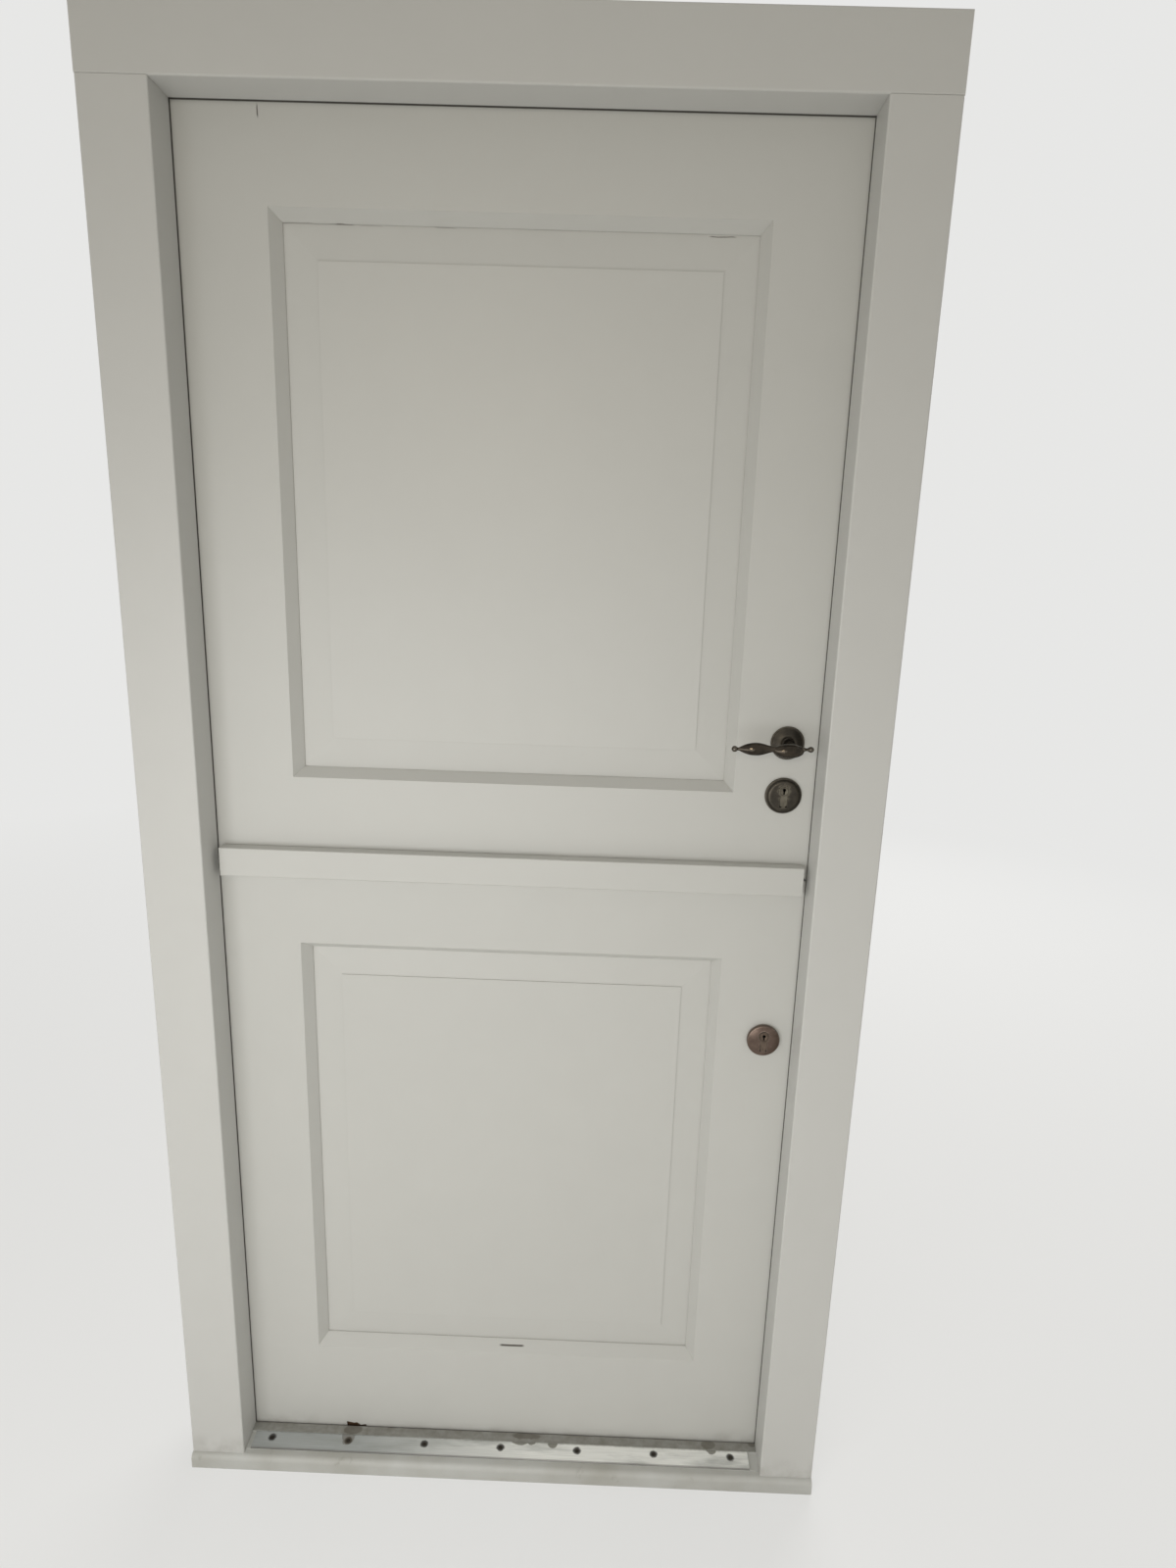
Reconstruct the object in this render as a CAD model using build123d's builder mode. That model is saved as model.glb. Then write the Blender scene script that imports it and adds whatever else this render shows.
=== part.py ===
from build123d import *
import os
from math import cos, radians, sin

# Dutch stable door in its frame: two leaves, one above the other, that open outwards.
# Millimetres. The origin is on the underside of the sill, midway between the posts, in the plane of
# the frame's room face. +X points to the lock side, +Y out of the house and +Z up.

os.makedirs("parts", exist_ok=True)

# Leaves
leaf_width = 930.0
leaf_thickness = 54.0
lower_leaf_height = 1077.0
upper_leaf_height = 1034.0
joint_gap = 4.0  # between the two leaves
stile_face = 134.0  # flat face of a stile, outside the moulding
top_rail_face = 134.0
bottom_rail_face = 180.0
meeting_rail_face = 132.0

# Moulding and raised panels, the same on both faces of a leaf
moulding_width = 13.0
moulding_depth = 18.0
moulding_lip = 2.0  # square edge between the moulding and the panel
groove_depth = 10.0
groove_play = 1.0  # room at the bottom of the groove for the panel to swell
margin_width = 46.0  # sloping margin round the raised field
margin_rise = 3.0
field_step = 1.5

# Chip in the bottom edge of the lower leaf, on the room face: along and up from its left end
chip_left = -286.0
chip_depth = 3.5
chip_outline = [(0, 0), (0, 15.7), (13.3, 12.8), (17.7, 14.3), (25.1, 8.4), (34.5, 11), (36.3, 0)]

# Frame
frame_depth = 114.0
post_width = 90.0
head_height = 90.0
stop_width = 17.0  # how far the stops stand in front of the leaves
leaf_gap = 3.0  # between a leaf and the frame, at the sides and the top
seal_gap = 3.0  # between the stops and the leaves
arris_radius = 2.5

# Sill
sill_land = 31.0  # top of the sill's stop
sill_nose_top = 26.0
sill_nose_proud = 8.0
sill_nose_radius = 9.0
sill_overlap = 9.0  # height of the lower leaf behind the sill's stop
sill_clearance = 4.0
sill_slope_drop = 6.0
sill_outer_proud = 20.0
drip_radius = 3.0
drip_inset = 8.0

# Threshold strip
strip_width = 32.0
strip_thickness = 3.0
strip_front = 9.0
strip_bed = 27.0
strip_left_gap = 8.0
strip_right_gap = 16.0
strip_screws = 7
strip_screw_end = 31.5
strip_screw_back = 12.0
strip_round = 1.0

# Meeting strip on the room face of the lower leaf
cover_height = 45.0
cover_thickness = 22.0
cover_overlap = 23.0  # how far it covers the upper leaf
cover_end_gap = 9.0
cover_rebate = 2.0
cover_round = 2.0

# Seals
seal_width = 6.0
seal_height = 2.7
seal_fin_width = 2.6
seal_fin_depth = 4.0
seal_inset = 7.0  # from the free edge of a stop to the middle of the seal
sill_seal_inset = 5.0
cover_seal_inset = 8.0
cover_seal_height = 1.7
seal_round = 1.0

# Butt hinges
hinge_height = 89.0
hinge_knuckles = 5
knuckle_gap = 0.4
knuckle_radius = 7.0
hinge_pin_radius = 4.0
hinge_pin_play = 0.05
hinge_axis_out = 7.5  # from the frame's outer face to the pin's axis
hinge_plate_width = 44.5  # from the pin's axis to the plate's free edge
hinge_plate_thickness = 2.5
hinge_plate_relief = 0.2
hinge_inset = 190.0  # from the end of a leaf to the middle of a hinge
hinge_cap_height = 3.0
hinge_cap_radius = 6.0
hinge_screw_rows = 3
hinge_screw_end = 12.0
hinge_screw_zigzag = 6.0

# Countersunk screws
screw_shank_radius = 2.0
screw_head_radius = 4.0
wood_screw_length = 30.0
strip_screw_length = 22.0
cylinder_screw_shank_radius = 2.5
cylinder_screw_head_radius = 4.5
cylinder_screw_length = 62.0

# Locks
backset = 60.0  # from the edge of a leaf to the spindle and the cylinder
spindle_rise = 210.0  # from the bottom of the upper leaf to the spindle
lever_to_cylinder = 72.0
lower_cylinder_drop = 259.5  # from the top of the lower leaf to its cylinder
faceplate_width = 20.0
faceplate_thickness = 3.0
upper_faceplate_height = 235.0
lower_faceplate_height = 165.0
case_thickness = 15.0
case_wall = 1.5
case_behind_axis = 38.0
case_below_cylinder = 33.0
case_above_bolt = 12.0
case_above_latch = 9.0
case_play = 0.3  # between the case and its mortise

# Bolts
bolt_thickness = 11.4
bolt_play = 0.3
deadbolt_height = 34.0
deadbolt_rise = 27.0  # from the cylinder's axis to the middle of the bolt
deadbolt_throw = 20.0
deadbolt_head = 28.0
deadbolt_tail_height = 20.0
deadbolt_tail_thickness = 5.0
deadbolt_tail_length = 76.0
latch_height = 18.0
latch_rise = 22.0  # from the spindle's axis to the middle of the latch
latch_throw = 11.0
latch_head = 26.0
latch_cheek = 2.0
latch_tail_height = 9.0
latch_tab = 2.5
latch_arm_clearance = 1.0
latch_nose = 2.0  # flat end of the bevelled latch
bolt_sunk = 0.5  # how far a drawn bolt lies inside its faceplate
bolt_chamfer = 0.8

# Follower and spindle
spindle_side = 8.0
spindle_hole_radius = 9.0
follower_radius = 11.0
follower_journal_radius = 8.0
follower_play = 0.05
follower_arm_reach = 18.0
follower_arm_width = 6.0
follower_arm_thickness = 5.0
lever_turn = 40.0  # degrees that the lever turns down

# Latch spring
spring_strip = 0.8
spring_width = 8.0
spring_reach = 14.0  # from the middle of the spring to each of its ends
spring_foot = 1.2
spring_play = 0.3

# Profile cylinders
cylinder_radius = 8.5
cylinder_web = 10.0
cylinder_drop = 24.5  # from the plug's axis to the bottom of the web
upper_cylinder_overhang = 8.0  # beyond the face of the leaf
lower_cylinder_overhang = 11.5
cylinder_play = 0.4
plug_radius = 6.5
plug_play = 0.05
cam_slot = 10.0
cam_play = 0.2
cam_ring_radius = 8.0
cam_reach = 15.5
cam_nose_width = 7.0
keyway_width = 2.6
keyway_height = 8.5
keyway_depth = 22.0
cylinder_screw_drop = 20.0

# Roses
handle_rose_radius = 25.0
handle_rose_thickness = 8.0
handle_rose_flat = 12.0  # radius of the flat at the top of the dome
upper_key_rose_radius = 27.5
upper_key_rose_flat = 20.0
lower_key_rose_radius = 26.0
lower_key_rose_flat = 13.0
upper_key_rose_thickness = 7.5
lower_key_rose_thickness = 11.0
key_rose_drop = 8.0  # from the plug's axis to the centre of the rose
rose_rim = 3.0
rose_rim_height = 3.5
lower_key_rose_rim_height = 8.5
rose_rim_chamfer = 1.0
rose_bore_play = 0.1

# Levers: the grip's sizes are measured from the spindle's axis towards the hinge side
lever_projection = 58.0  # from the leaf to the axis of the grip
grip_rise = 4.0  # of the grip's axis above the spindle
ball_reach = 88.0
ball_radius = 4.25
ball_neck_radius = 2.25
grip_swell_reach = 56.0
grip_swell_length = 14.0  # from the swell to the shoulders on both sides of it
grip_radius = 8.5
grip_crown = 4.0  # from the swell to each end of its straight middle
grip_shoulder_radius = 6.2
grip_waist_reach = 32.0
grip_waist_radius = 4.0
tail_reach = 12.0  # the tail lies on the lock side
tail_radius = 3.0
tail_neck_radius = 2.5
tail_ball_reach = 23.0
tail_ball_radius = 4.0
hub_half_length = 22.5
hub_radius = 9.7
hub_end_radius = 3.2
hub_shift = -10.0
hub_drop = 1.0
lever_journal_radius = 9.0
lever_foot_gap = 0.3
collar_radius = 10.0
collar_height = 3.0
collar_gap = 0.2  # between the collar and the rose
shank_neck_radius = 7.4
shank_neck_offset = 15.0
shank_waist_radius = 6.5
shank_waist_offset = 24.0
shank_end_radius = 9.0
socket_depth = 32.0
grub_radius = 1.5
grub_length = 2.4
grub_socket_radius = 0.9
grub_socket_depth = 1.2

# Strike plates
strike_width = 25.0
strike_thickness = 2.5
upper_strike_height = 200.0
lower_strike_height = 120.0
strike_hole_play = 1.5
strike_mortise_extra = 4.0
strike_screw_end = 12.0
strike_corner = 3.0

# Fixing holes through the posts, behind the leaves
fixing_radius = 4.0
fixing_from_stop = 9.0
outer_fixing_spacing = 1560.0
inner_fixing_spacing = 520.0
fixing_middle = 1120.0

# Places worked out from the sizes above
half_leaf = leaf_width / 2
half_rebate = half_leaf + leaf_gap
half_stop = half_rebate - stop_width
half_frame = half_stop + post_width
rebate_depth = leaf_thickness + seal_gap
stop_depth = frame_depth - rebate_depth
leaf_inner = stop_depth + seal_gap
leaf_outer = leaf_inner + leaf_thickness
leaf_middle = leaf_inner + leaf_thickness / 2
lower_bottom = sill_land - sill_overlap
lower_top = lower_bottom + lower_leaf_height
upper_bottom = lower_top + joint_gap
upper_top = upper_bottom + upper_leaf_height
head_rebate = upper_top + leaf_gap
head_stop = head_rebate - stop_width
head_top = head_stop + head_height
stile_width = stile_face + moulding_width
panel_recess = moulding_depth + moulding_lip
groove_width = leaf_thickness - 2 * panel_recess
sight_half = half_leaf - stile_width
hinge_axis_x = -(half_leaf + leaf_gap / 2)
hinge_axis_y = frame_depth + hinge_axis_out
lever_height = upper_bottom + spindle_rise
upper_cylinder_height = lever_height - lever_to_cylinder
lower_cylinder_height = lower_top - lower_cylinder_drop
spindle_x = half_leaf - backset
case_front = half_leaf - faceplate_thickness
case_depth = backset - faceplate_thickness + case_behind_axis
case_back = case_front - case_depth
hinge_bed = (2 * hinge_plate_thickness, 2 * (hinge_plate_width - hinge_axis_out), hinge_height)
strip_left = -half_stop + strip_left_gap
strip_right = half_stop - strip_right_gap
strip_top = strip_bed + strip_thickness

# Each leaf: its ends, its rails and the height of its cylinder
leaves = {
    "lower": {
        "bottom": lower_bottom,
        "top": lower_top,
        "bottom_rail": bottom_rail_face,
        "top_rail": meeting_rail_face,
        "cylinder": lower_cylinder_height,
        "faceplate_height": lower_faceplate_height,
        "case_top": lower_cylinder_height + deadbolt_rise + deadbolt_height / 2 + case_above_bolt,
        "overhang": lower_cylinder_overhang,
        "key_rose_thickness": lower_key_rose_thickness,
        "key_rose_rim": lower_key_rose_rim_height,
        "key_rose_radius": lower_key_rose_radius,
        "key_rose_flat": lower_key_rose_flat,
    },
    "upper": {
        "bottom": upper_bottom,
        "top": upper_top,
        "bottom_rail": meeting_rail_face,
        "top_rail": top_rail_face,
        "cylinder": upper_cylinder_height,
        "faceplate_height": upper_faceplate_height,
        "case_top": lever_height + latch_rise + latch_height / 2 + case_above_latch,
        "overhang": upper_cylinder_overhang,
        "key_rose_thickness": upper_key_rose_thickness,
        "key_rose_rim": rose_rim_height,
        "key_rose_radius": upper_key_rose_radius,
        "key_rose_flat": upper_key_rose_flat,
    },
}


def upright(y):
    """A vertical sketch plane at depth y, with its own x along X and its own y along Z."""
    return Plane(origin=(0, y, 0), x_dir=(1, 0, 0), z_dir=(0, -1, 0))


def hinge_heights(leaf):
    """Heights of the middles of a leaf's two hinges."""
    return [leaf["bottom"] + hinge_inset, leaf["top"] - hinge_inset]


def sill_outline():
    """The sill's section, as Y and Z."""
    rebate_floor = lower_bottom - sill_clearance
    return [
        (-sill_nose_proud, 0),
        (-sill_nose_proud, sill_nose_top),
        (strip_front, sill_nose_top),
        (strip_front, strip_bed),
        (strip_front + strip_width, strip_bed),
        (strip_front + strip_width, sill_land),
        (stop_depth, sill_land),
        (stop_depth, rebate_floor),
        (frame_depth + sill_outer_proud, rebate_floor - sill_slope_drop),
        (frame_depth + sill_outer_proud, 0),
    ]


def head_outline():
    """The head's section, as Y and Z, with its rebate for the upper leaf."""
    return [
        (0, head_stop),
        (stop_depth, head_stop),
        (stop_depth, head_rebate),
        (frame_depth, head_rebate),
        (frame_depth, head_top),
        (0, head_top),
    ]


def stile_outline(side):
    """A stile's section, as X and Y. The side is -1 for the hinge side and 1 for the lock side."""
    edge = side * half_leaf
    face = side * (half_leaf - stile_face)
    sight = side * sight_half
    groove = side * (sight_half + groove_depth)
    return [
        (edge, leaf_inner),
        (face, leaf_inner),
        (sight, leaf_inner + moulding_depth),
        (sight, leaf_inner + panel_recess),
        (groove, leaf_inner + panel_recess),
        (groove, leaf_outer - panel_recess),
        (sight, leaf_outer - panel_recess),
        (sight, leaf_outer - moulding_depth),
        (face, leaf_outer),
        (edge, leaf_outer),
    ]


def rail_outline(outer, face, side):
    """A rail's section, as Y and Z, moulded towards the panel. The side is 1 where that is up."""
    flat = outer + side * face
    sight = flat + side * moulding_width
    groove = sight - side * groove_depth
    return [
        (leaf_inner, outer),
        (leaf_inner, flat),
        (leaf_inner + moulding_depth, sight),
        (leaf_inner + panel_recess, sight),
        (leaf_inner + panel_recess, groove),
        (leaf_outer - panel_recess, groove),
        (leaf_outer - panel_recess, sight),
        (leaf_outer - moulding_depth, sight),
        (leaf_outer, flat),
        (leaf_outer, outer),
    ]


def cylinder_section(play):
    """The keyhole-shaped section of a profile cylinder about its plug's axis, grown by a play."""
    web_end = cylinder_web / 2 - cylinder_drop
    with BuildSketch() as section:
        Circle(cylinder_radius + play)
        with Locations((0, web_end / 2)):
            Rectangle(cylinder_web + 2 * play, -web_end)
        with Locations((0, web_end)):
            Circle(cylinder_web / 2 + play)
    return section.sketch


def seal_run(width):
    """The run of the frame seal on the stops, as a sketch of the given width."""
    across = 2 * (half_stop + seal_inset)
    low = sill_land - sill_seal_inset
    high = head_stop + seal_inset
    with BuildSketch(upright(stop_depth)) as run:
        with Locations((0, (low + high) / 2)):
            Rectangle(across + width, high - low + width)
            Rectangle(across - width, high - low - width, mode=Mode.SUBTRACT)
    return run.sketch


def countersunk_screw(length, shank_radius, head_radius):
    """A countersunk screw whose head lies flush at the origin and whose shank runs down -Z."""
    with BuildPart() as screw:
        with BuildSketch(Plane.XZ):
            with BuildLine():
                Polyline(
                    (0, 0),
                    (head_radius, 0),
                    (shank_radius, shank_radius - head_radius),
                    (shank_radius, -length),
                    (0, -length),
                    close=True,
                )
            make_face()
        revolve(axis=Axis.Z)
    return screw.part


# Shapes that are used more than once, as a piece and as the cut it fits in
cylinder_profile = cylinder_section(0)
cylinder_hole = cylinder_section(cylinder_play)
seal_groove = seal_run(seal_fin_width)
wood_screw = countersunk_screw(wood_screw_length, screw_shank_radius, screw_head_radius)
strip_screw = countersunk_screw(strip_screw_length, screw_shank_radius, screw_head_radius)
cylinder_screw = countersunk_screw(
    cylinder_screw_length, cylinder_screw_shank_radius, cylinder_screw_head_radius
)

# Turns that point a screw's shank sideways
driven_to_minus_x = (0, 90, 0)
driven_to_plus_x = (0, -90, 0)


def hinge_screw_places(leaf, face_x, turn):
    """Places of the screws of a leaf's hinges on one side: three to a plate, in a zigzag."""
    middle_y = hinge_axis_y - (hinge_plate_width + knuckle_radius) / 2
    pitch = (hinge_height - 2 * hinge_screw_end) / (hinge_screw_rows - 1)
    places = []
    for height in hinge_heights(leaf):
        for row in range(hinge_screw_rows):
            y = middle_y + hinge_screw_zigzag * (1 if row % 2 else -1)
            z = height - hinge_height / 2 + hinge_screw_end + row * pitch
            places.append(Location((face_x, y, z), turn))
    return places


all_hinge_heights = []
post_screw_places = []
for leaf in leaves.values():
    all_hinge_heights += hinge_heights(leaf)
    post_screw_places += hinge_screw_places(leaf, -half_rebate, driven_to_minus_x)

# Strike plates: the height and middle of each, and the middle, height and throw of its bolts
upper_deadbolt_z = upper_cylinder_height + deadbolt_rise
lower_deadbolt_z = lower_cylinder_height + deadbolt_rise
latch_z = lever_height + latch_rise
strikes = {
    "upper": {
        "height": upper_strike_height,
        "middle": (upper_deadbolt_z + latch_z) / 2,
        "holes": [
            (upper_deadbolt_z, deadbolt_height, deadbolt_throw),
            (latch_z, latch_height, latch_throw),
        ],
    },
    "lower": {
        "height": lower_strike_height,
        "middle": lower_deadbolt_z,
        "holes": [(lower_deadbolt_z, deadbolt_height, deadbolt_throw)],
    },
}
strike_screw_places = []
for strike in strikes.values():
    for end in (-1, 1):
        z = strike["middle"] + end * (strike["height"] / 2 - strike_screw_end)
        strike_screw_places.append(Location((half_rebate, leaf_middle, z), driven_to_plus_x))

# Threshold strip's screws, evenly spread along it
strip_screw_pitch = (strip_right - strip_left - 2 * strip_screw_end) / (strip_screws - 1)
strip_screw_y = strip_front + strip_width - strip_screw_back
strip_screw_places = [
    Location((strip_left + strip_screw_end + number * strip_screw_pitch, strip_screw_y, strip_top))
    for number in range(strip_screws)
]

# Sill: nosing, bed of the threshold strip, stop, rebate and outer slope with its drip groove
with BuildPart() as sill:
    with BuildSketch(Plane.YZ):
        with BuildLine():
            Polyline(*sill_outline(), close=True)
        make_face()
    extrude(amount=half_frame, both=True)
    nose_edges = sill.edges().filter_by(Axis.X).group_by(Axis.Y)[0]
    fillet(nose_edges.sort_by(Axis.Z)[-1], sill_nose_radius)
    with BuildSketch(Plane.YZ):
        with Locations((frame_depth + sill_outer_proud - drip_inset, 0)):
            Circle(drip_radius)
    extrude(amount=half_frame, both=True, mode=Mode.SUBTRACT)
    extrude(seal_groove, amount=seal_fin_depth, mode=Mode.SUBTRACT)
    with Locations(*strip_screw_places):
        add(strip_screw, mode=Mode.SUBTRACT)
sill.part.label = "sill"
export_step(sill.part, "parts/sill.step")

# Threshold strip: an aluminium flat that takes the tread, screwed down in the sill's bed
with BuildPart() as threshold_strip:
    with BuildSketch(Plane.XY.offset(strip_bed)):
        with Locations(((strip_left + strip_right) / 2, strip_front + strip_width / 2)):
            Rectangle(strip_right - strip_left, strip_width)
    extrude(amount=strip_thickness)
    top_edges = threshold_strip.edges().filter_by(Axis.X).group_by(Axis.Z)[-1]
    fillet(top_edges.sort_by(Axis.Y)[0], strip_round)
    with Locations(*strip_screw_places):
        add(strip_screw, mode=Mode.SUBTRACT)
threshold_strip.part.label = "threshold_strip"
export_step(threshold_strip.part, "parts/threshold_strip.step")

with BuildPart() as threshold_screws:
    with Locations(*strip_screw_places):
        add(strip_screw)
threshold_screws.part.label = "threshold_screws"
export_step(threshold_screws.part, "parts/threshold_screws.step")


def section_in(plane, outline):
    """A sketch of one closed outline in a plane."""
    with BuildSketch(plane) as section:
        with BuildLine():
            Polyline(*outline, close=True)
        make_face()
    return section.sketch


def add_post_body(side):
    """Adds a post to the part being built: scribed over the sill and under the head."""
    outline = [
        (side * half_stop, 0),
        (side * half_frame, 0),
        (side * half_frame, frame_depth),
        (side * half_rebate, frame_depth),
        (side * half_rebate, stop_depth),
        (side * half_stop, stop_depth),
    ]
    extrude(section_in(Plane.XY, outline), amount=head_rebate)
    fillet(edges().filter_by(Axis.Z).group_by(Axis.Y)[0], arris_radius)
    for cut in (sill_outline(), head_outline()):
        extrude(section_in(Plane.YZ, cut), amount=2 * half_frame, both=True, mode=Mode.SUBTRACT)
    extrude(seal_groove, amount=seal_fin_depth, mode=Mode.SUBTRACT)


def fixing_places(side):
    """Places along a post of the holes that fix it to the wall, turned along X."""
    spacings = (outer_fixing_spacing, inner_fixing_spacing)
    heights = [fixing_middle + end * spacing / 2 for spacing in spacings for end in (-1, 1)]
    y = stop_depth + fixing_from_stop
    return [Location((side * half_frame, y, z), driven_to_minus_x) for z in heights]


# Hinge post, with the beds of the hinge plates
with BuildPart() as hinge_post:
    add_post_body(-1)
    with Locations(*[(-half_rebate, frame_depth, height) for height in all_hinge_heights]):
        Box(*hinge_bed, mode=Mode.SUBTRACT)
    with Locations(*post_screw_places):
        add(wood_screw, mode=Mode.SUBTRACT)
    with Locations(*fixing_places(-1)):
        Cylinder(fixing_radius, 3 * post_width, mode=Mode.SUBTRACT)
hinge_post.part.label = "hinge_post"
export_step(hinge_post.part, "parts/hinge_post.step")

# Lock post, with the beds of the strike plates and the mortises that the bolts enter
with BuildPart() as lock_post:
    add_post_body(1)
    for strike in strikes.values():
        with Locations((half_rebate, leaf_middle, strike["middle"])):
            Box(2 * strike_thickness, strike_width, strike["height"], mode=Mode.SUBTRACT)
        for middle, tall, throw in strike["holes"]:
            with Locations((half_rebate, leaf_middle, middle)):
                Box(
                    2 * (throw + strike_mortise_extra),
                    bolt_thickness + 2 * strike_hole_play,
                    tall + 2 * strike_hole_play,
                    mode=Mode.SUBTRACT,
                )
    with Locations(*strike_screw_places):
        add(wood_screw, mode=Mode.SUBTRACT)
    with Locations(*fixing_places(1)):
        Cylinder(fixing_radius, 3 * post_width, mode=Mode.SUBTRACT)
lock_post.part.label = "lock_post"
export_step(lock_post.part, "parts/lock_post.step")

# Head
with BuildPart() as head:
    with BuildSketch(Plane.YZ):
        with BuildLine():
            Polyline(*head_outline(), close=True)
        make_face()
    extrude(amount=half_frame, both=True)
    fillet(head.edges().filter_by(Axis.X).group_by(Axis.Y)[0], arris_radius)
    extrude(seal_groove, amount=seal_fin_depth, mode=Mode.SUBTRACT)
head.part.label = "head"
export_step(head.part, "parts/head.step")

# Frame seal: one run of hollow-backed rubber round the stops, its fin pressed into the groove
with BuildPart() as frame_seal:
    extrude(seal_run(seal_width), amount=-seal_height)
    fillet(frame_seal.faces().sort_by(Axis.Y)[-1].edges(), seal_round)
    extrude(seal_groove, amount=seal_fin_depth)
frame_seal.part.label = "frame_seal"
export_step(frame_seal.part, "parts/frame_seal.step")

# Strike plates, flush in the lock post
for name, strike in strikes.items():
    with BuildPart() as strike_plate:
        with Locations((half_rebate + strike_thickness / 2, leaf_middle, strike["middle"])):
            Box(strike_thickness, strike_width, strike["height"])
        fillet(strike_plate.edges().filter_by(Axis.X), strike_corner)
        for middle, tall, throw in strike["holes"]:
            with Locations((half_rebate, leaf_middle, middle)):
                Box(
                    4 * strike_thickness,
                    bolt_thickness + 2 * strike_hole_play,
                    tall + 2 * strike_hole_play,
                    mode=Mode.SUBTRACT,
                )
        with Locations(*strike_screw_places):
            add(wood_screw, mode=Mode.SUBTRACT)
    strike_plate.part.label = f"{name}_strike"
    export_step(strike_plate.part, f"parts/{name}_strike.step")

with BuildPart() as strike_screws:
    with Locations(*strike_screw_places):
        add(wood_screw)
strike_screws.part.label = "strike_screws"
export_step(strike_screws.part, "parts/strike_screws.step")


def add_hinge_half(height, side, bore_play):
    """Adds half a hinge: a plate and its knuckles. The side is -1 on the post and 1 on the leaf."""
    face = -half_rebate if side < 0 else -half_leaf
    plate_x = face + side * hinge_plate_thickness / 2
    inner_y = hinge_axis_y - hinge_plate_width
    outer_y = hinge_axis_y - knuckle_radius - hinge_plate_relief
    knuckle_height = (hinge_height - (hinge_knuckles - 1) * knuckle_gap) / hinge_knuckles
    with Locations((plate_x, (inner_y + outer_y) / 2, height)):
        Box(hinge_plate_thickness, outer_y - inner_y, hinge_height)
    first = 0 if side < 0 else 1
    middles = [
        height - hinge_height / 2 + knuckle_height / 2 + number * (knuckle_height + knuckle_gap)
        for number in range(first, hinge_knuckles, 2)
    ]
    with Locations(*[(plate_x, (inner_y + hinge_axis_y) / 2, z) for z in middles]):
        Box(hinge_plate_thickness, hinge_axis_y - inner_y, knuckle_height)
    with Locations(*[(hinge_axis_x, hinge_axis_y, z) for z in middles]):
        Cylinder(knuckle_radius, knuckle_height)
    with Locations((hinge_axis_x, hinge_axis_y, height)):
        Cylinder(hinge_pin_radius + bore_play, hinge_height, mode=Mode.SUBTRACT)


# Post's halves of the four hinges
with BuildPart() as post_hinge_plates:
    for height in all_hinge_heights:
        add_hinge_half(height, -1, 0)
    with Locations(*post_screw_places):
        add(wood_screw, mode=Mode.SUBTRACT)
post_hinge_plates.part.label = "post_hinge_plates"
export_step(post_hinge_plates.part, "parts/post_hinge_plates.step")

with BuildPart() as post_hinge_screws:
    with Locations(*post_screw_places):
        add(wood_screw)
post_hinge_screws.part.label = "post_hinge_screws"
export_step(post_hinge_screws.part, "parts/post_hinge_screws.step")

# Hinge pins, with a cap at each end
pin_end = hinge_height / 2
cap_end = pin_end + hinge_cap_height
hinge_pin_outline = [
    (0, -cap_end),
    (hinge_cap_radius, -cap_end),
    (hinge_cap_radius, -pin_end),
    (hinge_pin_radius, -pin_end),
    (hinge_pin_radius, pin_end),
    (hinge_cap_radius, pin_end),
    (hinge_cap_radius, cap_end),
    (0, cap_end),
]
with BuildPart() as hinge_pins:
    for height in all_hinge_heights:
        with BuildSketch(Plane((hinge_axis_x, hinge_axis_y, height), x_dir=(1, 0, 0), z_dir=(0, -1, 0))):
            with BuildLine():
                Polyline(*hinge_pin_outline, close=True)
            make_face()
        revolve(axis=Axis((hinge_axis_x, hinge_axis_y, height), (0, 0, 1)))
hinge_pins.part.label = "hinge_pins"
export_step(hinge_pins.part, "parts/hinge_pins.step")


def add_stile_body(leaf, side):
    """Adds a stile to the part being built, moulded along its whole length."""
    section = section_in(Plane.XY.offset(leaf["bottom"]), stile_outline(side))
    extrude(section, amount=leaf["top"] - leaf["bottom"])


def add_rail_body(outer, face, side):
    """Adds a rail to the part being built: coped over the stiles, its tongues in their grooves."""
    reach = sight_half + max(moulding_width, groove_depth)
    extrude(section_in(Plane.YZ, rail_outline(outer, face, side)), amount=reach, both=True)
    for stile_side in (-1, 1):
        section = section_in(Plane.XY.offset(lower_bottom), stile_outline(stile_side))
        extrude(section, amount=upper_top - lower_bottom, mode=Mode.SUBTRACT)


def rectangle_in(plane, width, height, middle):
    """A sketch of one rectangle in an upright plane, at the height of its middle."""
    with BuildSketch(plane) as section:
        with Locations((0, middle)):
            Rectangle(width, height)
    return section.sketch


def add_raised_face(width, height, middle, out):
    """Adds one face of a raised panel: the sloping margin and the field. Out is -1 for the room."""
    face = leaf_middle + out * groove_width / 2
    inset = 2 * margin_width
    edge = rectangle_in(upright(face), width, height, middle)
    field = rectangle_in(upright(face + out * margin_rise), width - inset, height - inset, middle)
    loft(sections=[edge, field], ruled=True)
    extrude(field, amount=-out * field_step)


def turned_plane(x, y, z, out):
    """A plane for turned work: its own x is the radius, its own y runs out of the door from y."""
    return Plane(origin=(x, y, z), x_dir=(1, 0, 0), z_dir=(0, 0, out))


def add_rose(x, y, z, out, radius, thickness, rim_height, flat, bore):
    """Adds a turned rose: a rim, a slope up to the flat round the bore, and the bore itself."""
    outline = [
        (bore, 0),
        (radius, 0),
        (radius, rim_height - rose_rim_chamfer),
        (radius - rose_rim_chamfer, rim_height),
        (radius - rose_rim, rim_height),
        (flat, thickness),
        (bore, thickness),
    ]
    section = section_in(turned_plane(x, y, z, out), outline)
    revolve(section, axis=Axis((x, y, z), (0, out, 0)))


faces_of_leaf = ((leaf_inner, -1), (leaf_outer, 1))

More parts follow.
